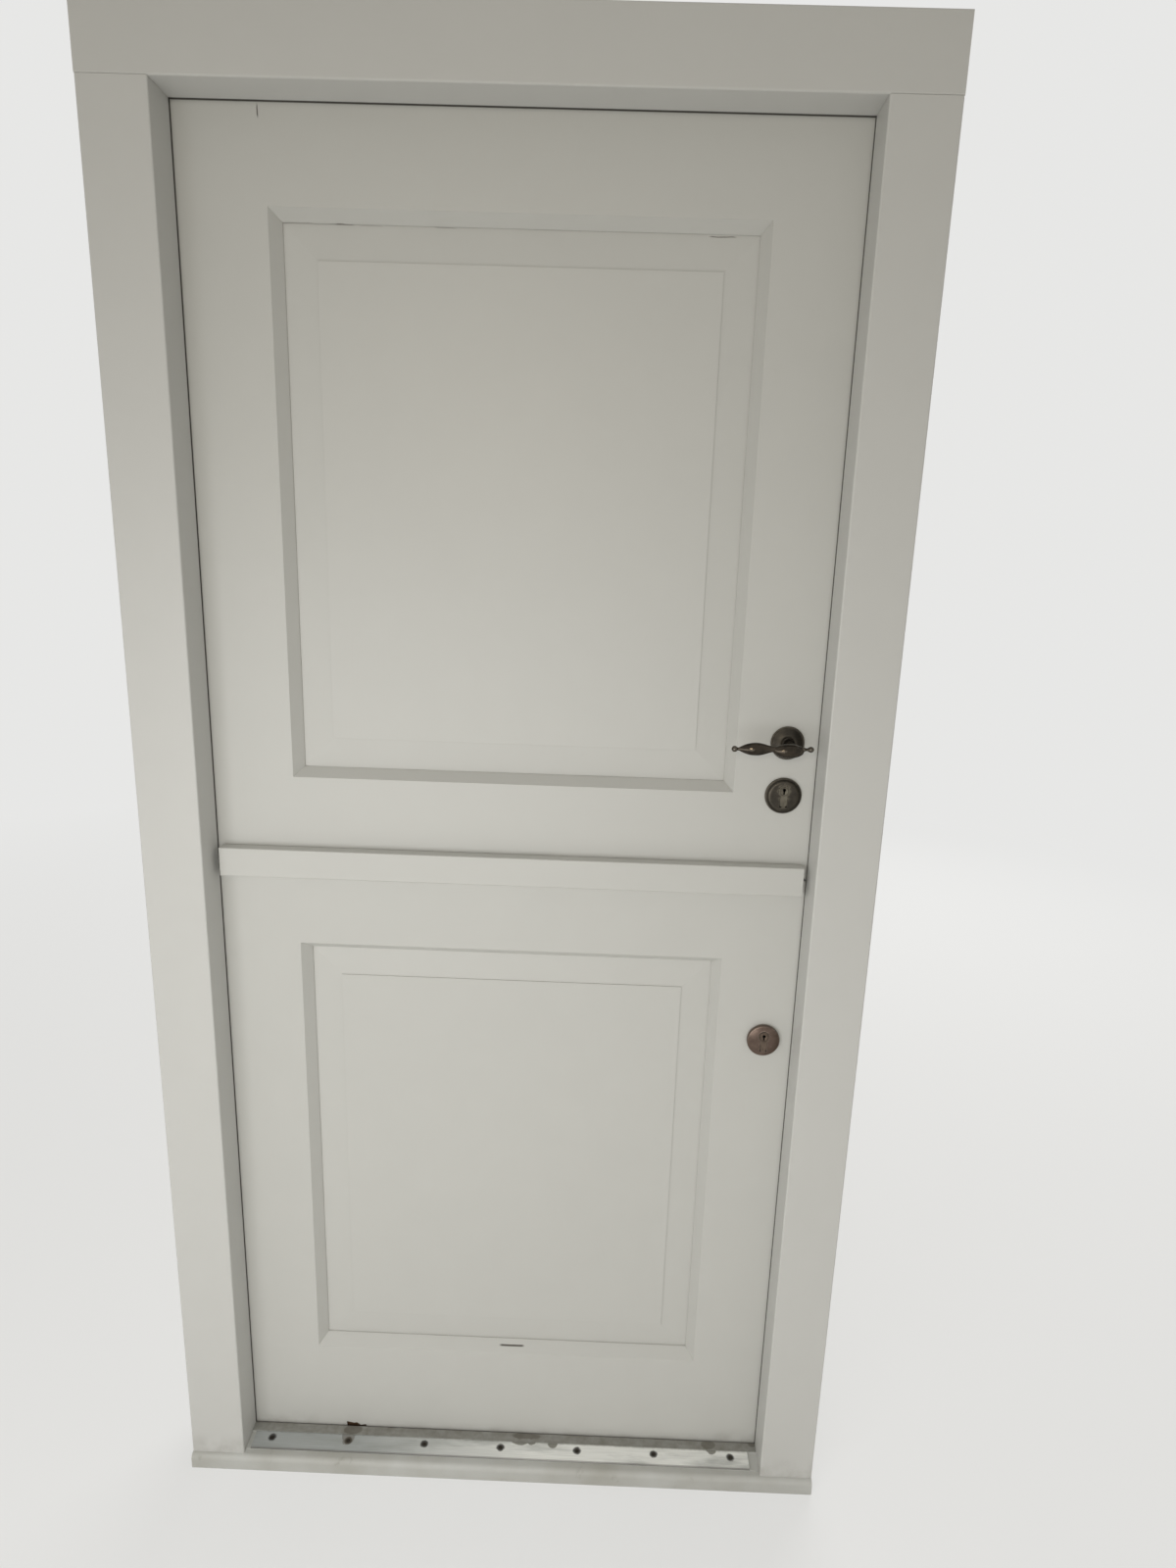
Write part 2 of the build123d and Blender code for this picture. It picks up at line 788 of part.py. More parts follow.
for name, leaf in leaves.items():
    bottom = leaf["bottom"]
    top = leaf["top"]
    cylinder_z = leaf["cylinder"]
    overhang = leaf["overhang"]
    case_bottom = cylinder_z - case_below_cylinder
    case_top = leaf["case_top"]
    case_middle = (case_bottom + case_top) / 2
    case_height = case_top - case_bottom
    case_x = (case_front + case_back) / 2
    bolts = [(cylinder_z + deadbolt_rise, deadbolt_height)]
    if name == "upper":
        bolts.append((lever_height + latch_rise, latch_height))
    screw_reach = leaf["faceplate_height"] / 2 - faceplate_width / 2
    faceplate_screw_places = [
        Location((half_leaf, leaf_middle, case_middle + end * screw_reach), driven_to_minus_x)
        for end in (-1, 1)
    ]
    cylinder_screw_place = Location(
        (half_leaf, leaf_middle, cylinder_z - cylinder_screw_drop), driven_to_minus_x
    )
    leaf_screw_places = hinge_screw_places(leaf, -half_leaf, driven_to_plus_x)

    # Hinge stile, with the beds of the hinge plates
    with BuildPart() as hinge_stile:
        add_stile_body(leaf, -1)
        with Locations(*[(-half_leaf, leaf_outer, height) for height in hinge_heights(leaf)]):
            Box(*hinge_bed, mode=Mode.SUBTRACT)
        with Locations(*leaf_screw_places):
            add(wood_screw, mode=Mode.SUBTRACT)
    hinge_stile.part.label = f"{name}_hinge_stile"
    export_step(hinge_stile.part, f"parts/{name}_hinge_stile.step")

    # Lock stile, with the mortise of the lock and the holes for cylinder and spindle
    with BuildPart() as lock_stile:
        add_stile_body(leaf, 1)
        with BuildSketch(Plane.YZ.offset(half_leaf)):
            with Locations((leaf_middle, case_middle)):
                SlotOverall(leaf["faceplate_height"], faceplate_width, rotation=90)
        extrude(amount=-faceplate_thickness, mode=Mode.SUBTRACT)
        with Locations(((case_front + case_back - case_play) / 2, leaf_middle, case_middle)):
            Box(
                case_depth + case_play,
                case_thickness + 2 * case_play,
                case_height + 2 * case_play,
                mode=Mode.SUBTRACT,
            )
        with BuildSketch(upright(leaf_inner)):
            with Locations((spindle_x, cylinder_z)):
                add(cylinder_hole)
            if name == "upper":
                with Locations((spindle_x, lever_height)):
                    Circle(spindle_hole_radius)
        extrude(amount=-leaf_thickness, mode=Mode.SUBTRACT)
        with Locations(*faceplate_screw_places):
            add(wood_screw, mode=Mode.SUBTRACT)
    lock_stile.part.label = f"{name}_lock_stile"
    export_step(lock_stile.part, f"parts/{name}_lock_stile.step")

    # Rails
    with BuildPart() as top_rail:
        add_rail_body(top, leaf["top_rail"], -1)
    top_rail.part.label = f"{name}_top_rail"
    export_step(top_rail.part, f"parts/{name}_top_rail.step")

    with BuildPart() as bottom_rail:
        add_rail_body(bottom, leaf["bottom_rail"], 1)
        if name == "lower":
            chip = [(chip_left + along, bottom + up) for along, up in chip_outline]
            extrude(section_in(upright(leaf_inner), chip), amount=-chip_depth, mode=Mode.SUBTRACT)
    bottom_rail.part.label = f"{name}_bottom_rail"
    export_step(bottom_rail.part, f"parts/{name}_bottom_rail.step")

    # Raised and fielded panel, tongued into the stiles and rails
    sight_bottom = bottom + leaf["bottom_rail"] + moulding_width
    sight_top = top - leaf["top_rail"] - moulding_width
    sight_middle = (sight_bottom + sight_top) / 2
    tongue = groove_depth - groove_play
    with BuildPart() as panel:
        with Locations((0, leaf_middle, sight_middle)):
            Box(2 * (sight_half + tongue), groove_width, sight_top - sight_bottom + 2 * tongue)
        for out in (-1, 1):
            add_raised_face(2 * sight_half, sight_top - sight_bottom, sight_middle, out)
    panel.part.label = f"{name}_panel"
    export_step(panel.part, f"parts/{name}_panel.step")

    # Leaf's halves of its two hinges
    with BuildPart() as hinge_plates:
        for height in hinge_heights(leaf):
            add_hinge_half(height, 1, hinge_pin_play)
        with Locations(*leaf_screw_places):
            add(wood_screw, mode=Mode.SUBTRACT)
    hinge_plates.part.label = f"{name}_hinge_plates"
    export_step(hinge_plates.part, f"parts/{name}_hinge_plates.step")

    with BuildPart() as hinge_screws:
        with Locations(*leaf_screw_places):
            add(wood_screw)
    hinge_screws.part.label = f"{name}_hinge_screws"
    export_step(hinge_screws.part, f"parts/{name}_hinge_screws.step")

    # Lock case: a pressed tray that holds the bolts, open to its cover on the outer side
    with BuildPart() as lock_case:
        with Locations((case_x, leaf_middle, case_middle)):
            Box(case_depth, case_thickness, case_height)
        with Locations((case_x, leaf_middle + case_wall, case_middle)):
            Box(
                case_depth - 2 * case_wall,
                case_thickness,
                case_height - 2 * case_wall,
                mode=Mode.SUBTRACT,
            )
        with Locations((case_x, leaf_middle + case_thickness / 2, case_middle)):
            Box(case_depth, 2 * case_wall, case_height, mode=Mode.SUBTRACT)
        for z, tall in bolts:
            with Locations((case_front, leaf_middle, z)):
                Box(4 * case_wall, bolt_thickness + 2 * bolt_play, tall + 2 * bolt_play, mode=Mode.SUBTRACT)
        with BuildSketch(upright(leaf_inner)):
            with Locations((spindle_x, cylinder_z)):
                add(cylinder_hole)
            if name == "upper":
                with Locations((spindle_x, lever_height)):
                    Circle(follower_journal_radius + follower_play)
        extrude(amount=-leaf_thickness, mode=Mode.SUBTRACT)
        with Locations(cylinder_screw_place):
            add(cylinder_screw, mode=Mode.SUBTRACT)
    lock_case.part.label = f"{name}_lock_case"
    export_step(lock_case.part, f"parts/{name}_lock_case.step")

    with BuildPart() as lock_cover:
        with Locations((case_x, leaf_middle + (case_thickness - case_wall) / 2, case_middle)):
            Box(case_depth, case_wall, case_height)
        with BuildSketch(upright(leaf_inner)):
            with Locations((spindle_x, cylinder_z)):
                add(cylinder_hole)
            if name == "upper":
                with Locations((spindle_x, lever_height)):
                    Circle(follower_journal_radius + follower_play)
        extrude(amount=-leaf_thickness, mode=Mode.SUBTRACT)
    lock_cover.part.label = f"{name}_lock_cover"
    export_step(lock_cover.part, f"parts/{name}_lock_cover.step")

    # Faceplate, let in flush along the edge of the leaf
    with BuildPart() as faceplate:
        with BuildSketch(Plane.YZ.offset(half_leaf)):
            with Locations((leaf_middle, case_middle)):
                SlotOverall(leaf["faceplate_height"], faceplate_width, rotation=90)
            for z, tall in bolts:
                with Locations((leaf_middle, z)):
                    Rectangle(bolt_thickness + 2 * bolt_play, tall + 2 * bolt_play, mode=Mode.SUBTRACT)
        extrude(amount=-faceplate_thickness)
        with Locations(*faceplate_screw_places):
            add(wood_screw, mode=Mode.SUBTRACT)
        with Locations(cylinder_screw_place):
            add(cylinder_screw, mode=Mode.SUBTRACT)
    faceplate.part.label = f"{name}_faceplate"
    export_step(faceplate.part, f"parts/{name}_faceplate.step")

    with BuildPart() as lock_screws:
        with Locations(*faceplate_screw_places):
            add(wood_screw)
        with Locations(cylinder_screw_place):
            add(cylinder_screw)
    lock_screws.part.label = f"{name}_lock_screws"
    export_step(lock_screws.part, f"parts/{name}_lock_screws.step")

    # Profile cylinder: one body, slotted in the middle for the cam
    with BuildPart() as cylinder:
        with BuildSketch(upright(leaf_inner - overhang)):
            with Locations((spindle_x, cylinder_z)):
                add(cylinder_profile)
                Circle(plug_radius + plug_play, mode=Mode.SUBTRACT)
        extrude(amount=-(leaf_thickness + 2 * overhang))
        slot_bottom = cam_reach + cam_play
        with Locations((spindle_x, leaf_middle, cylinder_z + (cylinder_radius - slot_bottom) / 2)):
            Box(
                2 * cylinder_radius,
                cam_slot,
                cylinder_radius + slot_bottom,
                mode=Mode.SUBTRACT,
            )
        with Locations(cylinder_screw_place):
            add(cylinder_screw, mode=Mode.SUBTRACT)
    cylinder.part.label = f"{name}_cylinder"
    export_step(cylinder.part, f"parts/{name}_cylinder.step")

    # Plugs: the inner one carries the cam, the outer one ends at the slot
    plug_ends = {
        "inner": (leaf_inner - overhang, leaf_middle + cam_slot / 2 - cam_play),
        "outer": (leaf_outer + overhang, leaf_middle + cam_slot / 2),
    }
    for place, (front, back) in plug_ends.items():
        out = 1 if front > back else -1
        with BuildPart() as plug:
            with BuildSketch(upright(front)):
                with Locations((spindle_x, cylinder_z)):
                    Circle(plug_radius)
            extrude(amount=out * abs(front - back))
            with BuildSketch(upright(front)):
                with Locations((spindle_x, cylinder_z)):
                    SlotOverall(keyway_height, keyway_width, rotation=90)
            extrude(amount=out * keyway_depth, mode=Mode.SUBTRACT)
        plug.part.label = f"{name}_{place}_plug"
        export_step(plug.part, f"parts/{name}_{place}_plug.step")

    # Cam: a ring round the inner plug with a nose that points down while the lock is at rest
    nose_end = cam_reach - cam_nose_width / 2
    with BuildPart() as cam:
        with BuildSketch(upright(leaf_middle - cam_slot / 2 + cam_play)):
            with Locations((spindle_x, cylinder_z)):
                Circle(cam_ring_radius)
            with Locations((spindle_x, cylinder_z - nose_end / 2)):
                Rectangle(cam_nose_width, nose_end)
            with Locations((spindle_x, cylinder_z - nose_end)):
                Circle(cam_nose_width / 2)
            with Locations((spindle_x, cylinder_z)):
                Circle(plug_radius, mode=Mode.SUBTRACT)
        extrude(amount=-(cam_slot - 2 * cam_play))
    cam.part.label = f"{name}_cam"
    export_step(cam.part, f"parts/{name}_cam.step")

    # Deadbolt: a head with a flat tail over the cam
    bolt_front = half_leaf - bolt_sunk
    bolt_z = cylinder_z + deadbolt_rise
    with BuildPart() as deadbolt:
        with Locations((bolt_front - deadbolt_head / 2, leaf_middle, bolt_z)):
            Box(deadbolt_head, bolt_thickness, deadbolt_height)
        chamfer(deadbolt.faces().sort_by(Axis.X)[-1].edges().filter_by(Axis.Z), bolt_chamfer)
        with Locations((bolt_front - deadbolt_tail_length / 2, leaf_middle, bolt_z)):
            Box(deadbolt_tail_length, deadbolt_tail_thickness, deadbolt_tail_height)
    deadbolt.part.label = f"{name}_deadbolt"
    export_step(deadbolt.part, f"parts/{name}_deadbolt.step")

    # Key roses, inside and outside
    with BuildPart() as key_roses:
        for face, out in faces_of_leaf:
            add_rose(
                spindle_x,
                face,
                cylinder_z - key_rose_drop,
                out,
                leaf["key_rose_radius"],
                leaf["key_rose_thickness"],
                leaf["key_rose_rim"],
                leaf["key_rose_flat"],
                0,
            )
        with BuildSketch(upright(leaf_inner - overhang)):
            with Locations((spindle_x, cylinder_z)):
                add(cylinder_hole)
        extrude(amount=-(leaf_thickness + 2 * overhang), mode=Mode.SUBTRACT)
    key_roses.part.label = f"{name}_key_roses"
    export_step(key_roses.part, f"parts/{name}_key_roses.step")

# Meeting strip: covers the joint between the leaves on the room side, fixed to the lower leaf
cover_top = upper_bottom + cover_overlap
cover_half = half_stop - cover_end_gap
cover_seal_z = cover_top - cover_seal_inset
with BuildPart() as meeting_strip:
    with Locations((0, leaf_inner - cover_thickness / 2, cover_top - cover_height / 2)):
        Box(2 * cover_half, cover_thickness, cover_height)
    fillet(meeting_strip.edges().filter_by(Axis.X).group_by(Axis.Y)[0], cover_round)
    with Locations((0, leaf_inner, (cover_top + lower_top) / 2)):
        Box(2 * cover_half, 2 * cover_rebate, cover_top - lower_top, mode=Mode.SUBTRACT)
    with Locations((0, leaf_inner - cover_rebate, cover_seal_z)):
        Box(2 * cover_half, 2 * seal_fin_depth, seal_fin_width, mode=Mode.SUBTRACT)
meeting_strip.part.label = "meeting_strip"
export_step(meeting_strip.part, "parts/meeting_strip.step")

# Seal between the meeting strip and the upper leaf
with BuildPart() as meeting_seal:
    with Locations((0, leaf_inner - cover_rebate + cover_seal_height / 2, cover_seal_z)):
        Box(2 * cover_half, cover_seal_height, seal_width)
    fillet(meeting_seal.edges().filter_by(Axis.X).group_by(Axis.Y)[-1], seal_round)
    with Locations((0, leaf_inner - cover_rebate - seal_fin_depth / 2, cover_seal_z)):
        Box(2 * cover_half, seal_fin_depth, seal_fin_width)
meeting_seal.part.label = "meeting_seal"
export_step(meeting_seal.part, "parts/meeting_seal.step")

# Handle roses, inside and outside
with BuildPart() as handle_roses:
    for face, out in faces_of_leaf:
        add_rose(
            spindle_x,
            face,
            lever_height,
            out,
            handle_rose_radius,
            handle_rose_thickness,
            rose_rim_height,
            handle_rose_flat,
            lever_journal_radius + rose_bore_play,
        )
handle_roses.part.label = "handle_roses"
export_step(handle_roses.part, "parts/handle_roses.step")

# Follower: turns in the case's two walls and carries the square of the spindle
follower_hub = case_thickness - 2 * case_wall - 2 * bolt_play
with BuildPart() as follower:
    with Locations(Location((spindle_x, leaf_middle, lever_height), (90, 0, 0))):
        Cylinder(follower_journal_radius, case_thickness)
        Cylinder(follower_radius, follower_hub)
    with Locations((spindle_x, leaf_middle, lever_height + follower_arm_reach / 2)):
        Box(follower_arm_width, follower_arm_thickness, follower_arm_reach)
    with Locations((spindle_x, leaf_middle, lever_height)):
        Box(spindle_side, 2 * case_thickness, spindle_side, mode=Mode.SUBTRACT)
follower.part.label = "follower"
export_step(follower.part, "parts/follower.step")

# Latch bolt: a bevelled head and a fork whose cross piece lies behind the follower's arm
latch_front = half_leaf - bolt_sunk
arm_sweep = follower_arm_reach * sin(radians(lever_turn))
arm_sweep += follower_arm_width / 2 * cos(radians(lever_turn))
tab_front = spindle_x - arm_sweep - latch_arm_clearance - latch_throw
tab_bottom = lever_height + follower_radius + latch_arm_clearance
tail_top = latch_z + latch_tail_height / 2
with BuildPart() as latch_bolt:
    with BuildSketch(Plane.XY.offset(latch_z - latch_height / 2)):
        with BuildLine():
            Polyline(
                (latch_front, leaf_middle + bolt_thickness / 2),
                (latch_front - latch_head, leaf_middle + bolt_thickness / 2),
                (latch_front - latch_head, leaf_middle - bolt_thickness / 2),
                (latch_front - latch_throw, leaf_middle - bolt_thickness / 2),
                (latch_front, leaf_middle + bolt_thickness / 2 - latch_nose),
                close=True,
            )
        make_face()
    extrude(amount=latch_height)
    fork_back = tab_front - latch_tab
    fork_front = latch_front - latch_head
    for side in (-1, 1):
        cheek_y = leaf_middle + side * (bolt_thickness - latch_cheek) / 2
        with Locations(((fork_back + fork_front) / 2, cheek_y, latch_z)):
            Box(fork_front - fork_back, latch_cheek, latch_tail_height)
    with Locations((tab_front - latch_tab / 2, leaf_middle, (tab_bottom + tail_top) / 2)):
        Box(latch_tab, bolt_thickness, tail_top - tab_bottom)
latch_bolt.part.label = "latch_bolt"
export_step(latch_bolt.part, "parts/latch_bolt.step")

# Latch spring: a bowed strip between the back of the case and the latch
spring_seat = case_back + case_wall
spring_crown = tab_front - latch_tab - spring_play
with BuildPart() as latch_spring:
    with BuildSketch(upright(leaf_middle - spring_width / 2)):
        with BuildLine():
            ThreePointArc(
                (spring_seat, latch_z - spring_reach),
                (spring_crown, latch_z),
                (spring_seat, latch_z + spring_reach),
            )
            Line((spring_seat, latch_z + spring_reach), (spring_seat, latch_z + spring_reach - spring_foot))
            ThreePointArc(
                (spring_seat, latch_z + spring_reach - spring_foot),
                (spring_crown - spring_strip, latch_z),
                (spring_seat, latch_z - spring_reach + spring_foot),
            )
            Line((spring_seat, latch_z - spring_reach + spring_foot), (spring_seat, latch_z - spring_reach))
        make_face()
    extrude(amount=-spring_width)
latch_spring.part.label = "latch_spring"
export_step(latch_spring.part, "parts/latch_spring.step")

# Spindle: one square bar through the follower into both levers
spindle_length = leaf_thickness + 2 * (lever_foot_gap + socket_depth)
with BuildPart() as spindle:
    with Locations((spindle_x, leaf_middle, lever_height)):
        Box(spindle_side, spindle_length, spindle_side)
spindle.part.label = "spindle"
export_step(spindle.part, "parts/spindle.step")

# Levers: a turned grip with a ball at each end, an egg-shaped hub and a flared shank
ball_neck_x = (ball_radius**2 - ball_neck_radius**2) ** 0.5 - ball_reach
tail_neck_x = tail_ball_reach - (tail_ball_radius**2 - tail_neck_radius**2) ** 0.5
hub_curve = [
    (hub_half_length * i / 3, hub_radius - (hub_radius - hub_end_radius) * (i / 3) ** 2) for i in range(-3, 4)
]
collar_start = handle_rose_thickness + collar_gap
collar_end = collar_start + collar_height
for name, (face, out) in zip(("inner", "outer"), faces_of_leaf):
    grip_centre = (spindle_x, face + out * lever_projection, lever_height + grip_rise)
    hub_centre = (spindle_x + hub_shift, face + out * lever_projection, lever_height - hub_drop)
    with BuildPart() as lever:
        with BuildSketch(Plane(grip_centre, x_dir=(1, 0, 0), z_dir=(0, -1, 0))):
            with BuildLine():
                ThreePointArc(
                    (-ball_reach - ball_radius, 0),
                    (-ball_reach, ball_radius),
                    (ball_neck_x, ball_neck_radius),
                )
                Polyline(
                    (ball_neck_x, ball_neck_radius),
                    (-grip_swell_reach - grip_swell_length, grip_shoulder_radius),
                    (-grip_swell_reach - grip_crown, grip_radius),
                    (-grip_swell_reach + grip_crown, grip_radius),
                    (-grip_swell_reach + grip_swell_length, grip_shoulder_radius),
                    (-grip_waist_reach, grip_waist_radius),
                    (0, grip_waist_radius),
                    (tail_reach, tail_radius),
                    (tail_neck_x, tail_neck_radius),
                )
                ThreePointArc(
                    (tail_neck_x, tail_neck_radius),
                    (tail_ball_reach, tail_ball_radius),
                    (tail_ball_reach + tail_ball_radius, 0),
                )
                Line((tail_ball_reach + tail_ball_radius, 0), (-ball_reach - ball_radius, 0))
            make_face()
        revolve(axis=Axis(grip_centre, (1, 0, 0)))
        hub_plane = Plane(hub_centre, x_dir=(1, 0, 0), z_dir=(0, -1, 0))
        hub_section = section_in(hub_plane, [(-hub_half_length, 0), *hub_curve, (hub_half_length, 0)])
        revolve(hub_section, axis=Axis(hub_centre, (1, 0, 0)))
        with BuildSketch(turned_plane(spindle_x, face, lever_height, out)):
            with BuildLine():
                Polyline(
                    (0, lever_foot_gap),
                    (lever_journal_radius, lever_foot_gap),
                    (lever_journal_radius, collar_start),
                    (collar_radius, collar_start),
                    (collar_radius, collar_end),
                    (shank_neck_radius, shank_neck_offset),
                    (shank_waist_radius, shank_waist_offset),
                    (shank_end_radius, lever_projection),
                )
                ThreePointArc(
                    (shank_end_radius, lever_projection),
                    (
                        shank_end_radius * cos(radians(45)),
                        lever_projection + shank_end_radius * sin(radians(45)),
                    ),
                    (0, lever_projection + shank_end_radius),
                )
                Line((0, lever_projection + shank_end_radius), (0, lever_foot_gap))
            make_face()
        revolve(axis=Axis((spindle_x, face, lever_height), (0, out, 0)))
        with Locations((spindle_x, leaf_middle, lever_height)):
            Box(spindle_side, spindle_length, spindle_side, mode=Mode.SUBTRACT)
        with Locations((spindle_x, face + out * shank_waist_offset, lever_height)):
            Cylinder(
                grub_radius,
                2 * shank_waist_radius,
                align=(Align.CENTER, Align.CENTER, Align.MAX),
                mode=Mode.SUBTRACT,
            )
    lever.part.label = f"{name}_lever"
    export_step(lever.part, f"parts/{name}_lever.step")

# Grub screws that clamp the levers to the spindle, from below
with BuildPart() as lever_grub_screws:
    for face, out in faces_of_leaf:
        grub_y = face + out * shank_waist_offset
        with Locations((spindle_x, grub_y, lever_height - spindle_side / 2)):
            Cylinder(grub_radius, grub_length, align=(Align.CENTER, Align.CENTER, Align.MAX))
        with BuildSketch(Plane.XY.offset(lever_height - spindle_side / 2 - grub_length)):
            with Locations((spindle_x, grub_y)):
                RegularPolygon(grub_socket_radius, 6)
        extrude(amount=grub_socket_depth, mode=Mode.SUBTRACT)
lever_grub_screws.part.label = "lever_grub_screws"
export_step(lever_grub_screws.part, "parts/lever_grub_screws.step")
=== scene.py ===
import math

import bpy
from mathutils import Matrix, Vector


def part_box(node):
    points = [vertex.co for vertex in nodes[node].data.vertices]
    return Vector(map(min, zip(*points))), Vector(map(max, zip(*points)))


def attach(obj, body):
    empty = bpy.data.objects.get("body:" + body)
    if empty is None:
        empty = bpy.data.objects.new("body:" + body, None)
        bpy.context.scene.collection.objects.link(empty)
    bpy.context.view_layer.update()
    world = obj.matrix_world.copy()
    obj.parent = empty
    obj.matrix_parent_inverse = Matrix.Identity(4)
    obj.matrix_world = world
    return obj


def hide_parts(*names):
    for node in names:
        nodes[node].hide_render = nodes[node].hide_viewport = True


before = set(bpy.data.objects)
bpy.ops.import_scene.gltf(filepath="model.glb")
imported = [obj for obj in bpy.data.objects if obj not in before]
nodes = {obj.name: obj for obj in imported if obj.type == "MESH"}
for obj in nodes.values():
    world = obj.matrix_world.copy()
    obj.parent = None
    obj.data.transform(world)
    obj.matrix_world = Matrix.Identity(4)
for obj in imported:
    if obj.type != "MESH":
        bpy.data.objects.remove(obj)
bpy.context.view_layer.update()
mm = 0.001
leafMiddle = 87.0  # y of the middle of the leaves, in millimetres
print("frame loaded:", len(nodes), "nodes")


def putDown():
    bpy.ops.object.select_all(action="DESELECT")


def pickUp(*pieces):
    putDown()
    for piece in pieces:
        piece.select_set(True)
    bpy.context.view_layer.objects.active = pieces[0]


def settle(piece, name):  # the place goes into the mesh, the object back to the origin
    piece.name = name
    piece.data.name = name
    pickUp(piece)
    bpy.ops.object.transform_apply(location=True, rotation=True, scale=True)
    return piece


def useModifier(piece, kind, **settings):
    pickUp(piece)
    bpy.ops.object.modifier_add(type=kind)
    modifier = piece.modifiers[-1]
    for key, value in settings.items():
        setattr(modifier, key, value)
    bpy.ops.object.modifier_apply(modifier=modifier.name)


def turnOnLathe(name, foot, along, stations, sides=32, hollow=False):
    # stations are (distance from the foot, radius) in millimetres
    along = Vector(along).normalized()
    foot = Vector(foot) * mm
    distance, radius = stations[0]
    centre = foot + along * distance * mm
    putDown()
    bpy.ops.mesh.primitive_circle_add(
        vertices=sides,
        radius=radius * mm,
        fill_type="NOTHING" if hollow else "NGON",
        location=centre,
        rotation=along.to_track_quat("Z", "Y").to_euler(),
    )
    piece = bpy.context.object
    bpy.ops.object.mode_set(mode="EDIT")
    bpy.ops.mesh.select_all(action="SELECT")
    for nextDistance, nextRadius in stations[1:]:
        step = along * (nextDistance - distance) * mm
        bpy.ops.mesh.extrude_region_move(TRANSFORM_OT_translate={"value": step})
        centre = centre + step
        growth = nextRadius / radius
        bpy.ops.transform.resize(value=(growth, growth, growth), center_override=centre)
        distance, radius = nextDistance, nextRadius
    bpy.ops.mesh.select_all(action="SELECT")
    bpy.ops.mesh.remove_doubles(threshold=0.01 * mm)
    bpy.ops.mesh.normals_make_consistent(inside=False)
    bpy.ops.object.mode_set(mode="OBJECT")
    return settle(piece, name)


def makeBlock(name, low, high):  # corners in millimetres
    low, high = Vector(low) * mm, Vector(high) * mm
    putDown()
    bpy.ops.mesh.primitive_cube_add(size=1, location=(low + high) / 2)
    block = bpy.context.object
    block.scale = high - low
    return settle(block, name)


def joinPieces(name, pieces):
    pickUp(*pieces)
    bpy.ops.object.join()
    return settle(bpy.context.object, name)


def carve(piece, cutter, operation="DIFFERENCE"):
    useModifier(piece, "BOOLEAN", operation=operation, solver="EXACT", object=cutter)
    bpy.data.objects.remove(cutter)


def copyTo(piece, name, shift):  # shift in millimetres
    twin = piece.copy()
    twin.data = piece.data.copy()
    bpy.context.scene.collection.objects.link(twin)
    twin.location = Vector(shift) * mm
    return settle(twin, name)


def smoothOver(piece, angle=35):
    pickUp(piece)
    bpy.ops.object.shade_smooth_by_angle(angle=math.radians(angle))


# Nodes of the materials; places and distances are given in millimetres


def plug(tree, value, socket):
    if isinstance(value, bpy.types.NodeSocket):
        tree.links.new(value, socket)
    elif isinstance(value, bpy.types.Node):
        tree.links.new(value.outputs[0], socket)
    else:
        socket.default_value = value


def place(tree, kind, inputs=None, **settings):
    made = tree.nodes.new(kind)
    for key, value in settings.items():
        setattr(made, key, value)
    for key, value in (inputs or {}).items():
        plug(tree, value, made.inputs[key])
    return made


def calc(tree, operation, *values):
    return place(tree, "ShaderNodeMath", dict(enumerate(values)), operation=operation).outputs[0]


def times(tree, first, *others):
    for other in others:
        first = calc(tree, "MULTIPLY", first, other)
    return first


def plus(tree, first, second):
    return calc(tree, "ADD", first, second)


def minus(tree, first, second):
    return calc(tree, "SUBTRACT", first, second)


def absolute(tree, value):
    return calc(tree, "ABSOLUTE", value)


def largest(tree, first, *others):
    for other in others:
        first = calc(tree, "MAXIMUM", first, other)
    return first


def ramp(tree, value, low, high):  # 0 at low, 1 at high, straight between
    made = place(tree, "ShaderNodeMapRange", {0: value, 1: low, 2: high, 3: 0.0, 4: 1.0})
    made.clamp = True
    return made.outputs[0]


def rampMm(tree, value, low, high):
    return ramp(tree, value, low * mm, high * mm)


def between(tree, value, rise, fall):  # up over the first pair of places, down over the second
    return times(tree, rampMm(tree, value, *rise), rampMm(tree, value, *fall))


def blendColour(tree, amount, first, second):
    made = place(tree, "ShaderNodeMix", data_type="RGBA", blend_type="MIX")
    plug(tree, amount, made.inputs[0])
    plug(tree, first, made.inputs[6])
    plug(tree, second, made.inputs[7])
    return made.outputs[2]


def tint(tree, colour, mask, share, tone):
    return blendColour(tree, times(tree, mask, share), colour, tone)


def speckle(tree, coords, scale, detail=3.0, roughness=0.5, stretch=None):
    where = coords
    if stretch:
        where = place(tree, "ShaderNodeMapping", {"Vector": coords, "Scale": stretch}).outputs[0]
    made = place(
        tree, "ShaderNodeTexNoise",
        {"Vector": where, "Scale": scale, "Detail": detail, "Roughness": roughness},
    )
    return made.outputs[0]


def sway(tree, waver, reach):  # a noise of 0 to 1 as a shift to either side
    return times(tree, minus(tree, waver, 0.5), reach * mm)


def axes(tree, coords):
    return place(tree, "ShaderNodeSeparateXYZ", {0: coords}).outputs


def rgb(*levels):  # screen levels 0-255 to a linear colour
    linear = []
    for level in levels:
        share = level / 255
        linear.append(share / 12.92 if share <= 0.04045 else ((share + 0.055) / 1.055) ** 2.4)
    return (*linear, 1.0)


def dimmed(tone, share):
    return tuple(share * level for level in tone[:3]) + (1.0,)


def startMaterial(name):
    material = bpy.data.materials.new(name)
    material.use_nodes = True
    tree = material.node_tree
    shader = next(n for n in tree.nodes if n.type == "BSDF_PRINCIPLED")
    coords = place(tree, "ShaderNodeTexCoord").outputs["Object"]
    return material, tree, shader, coords


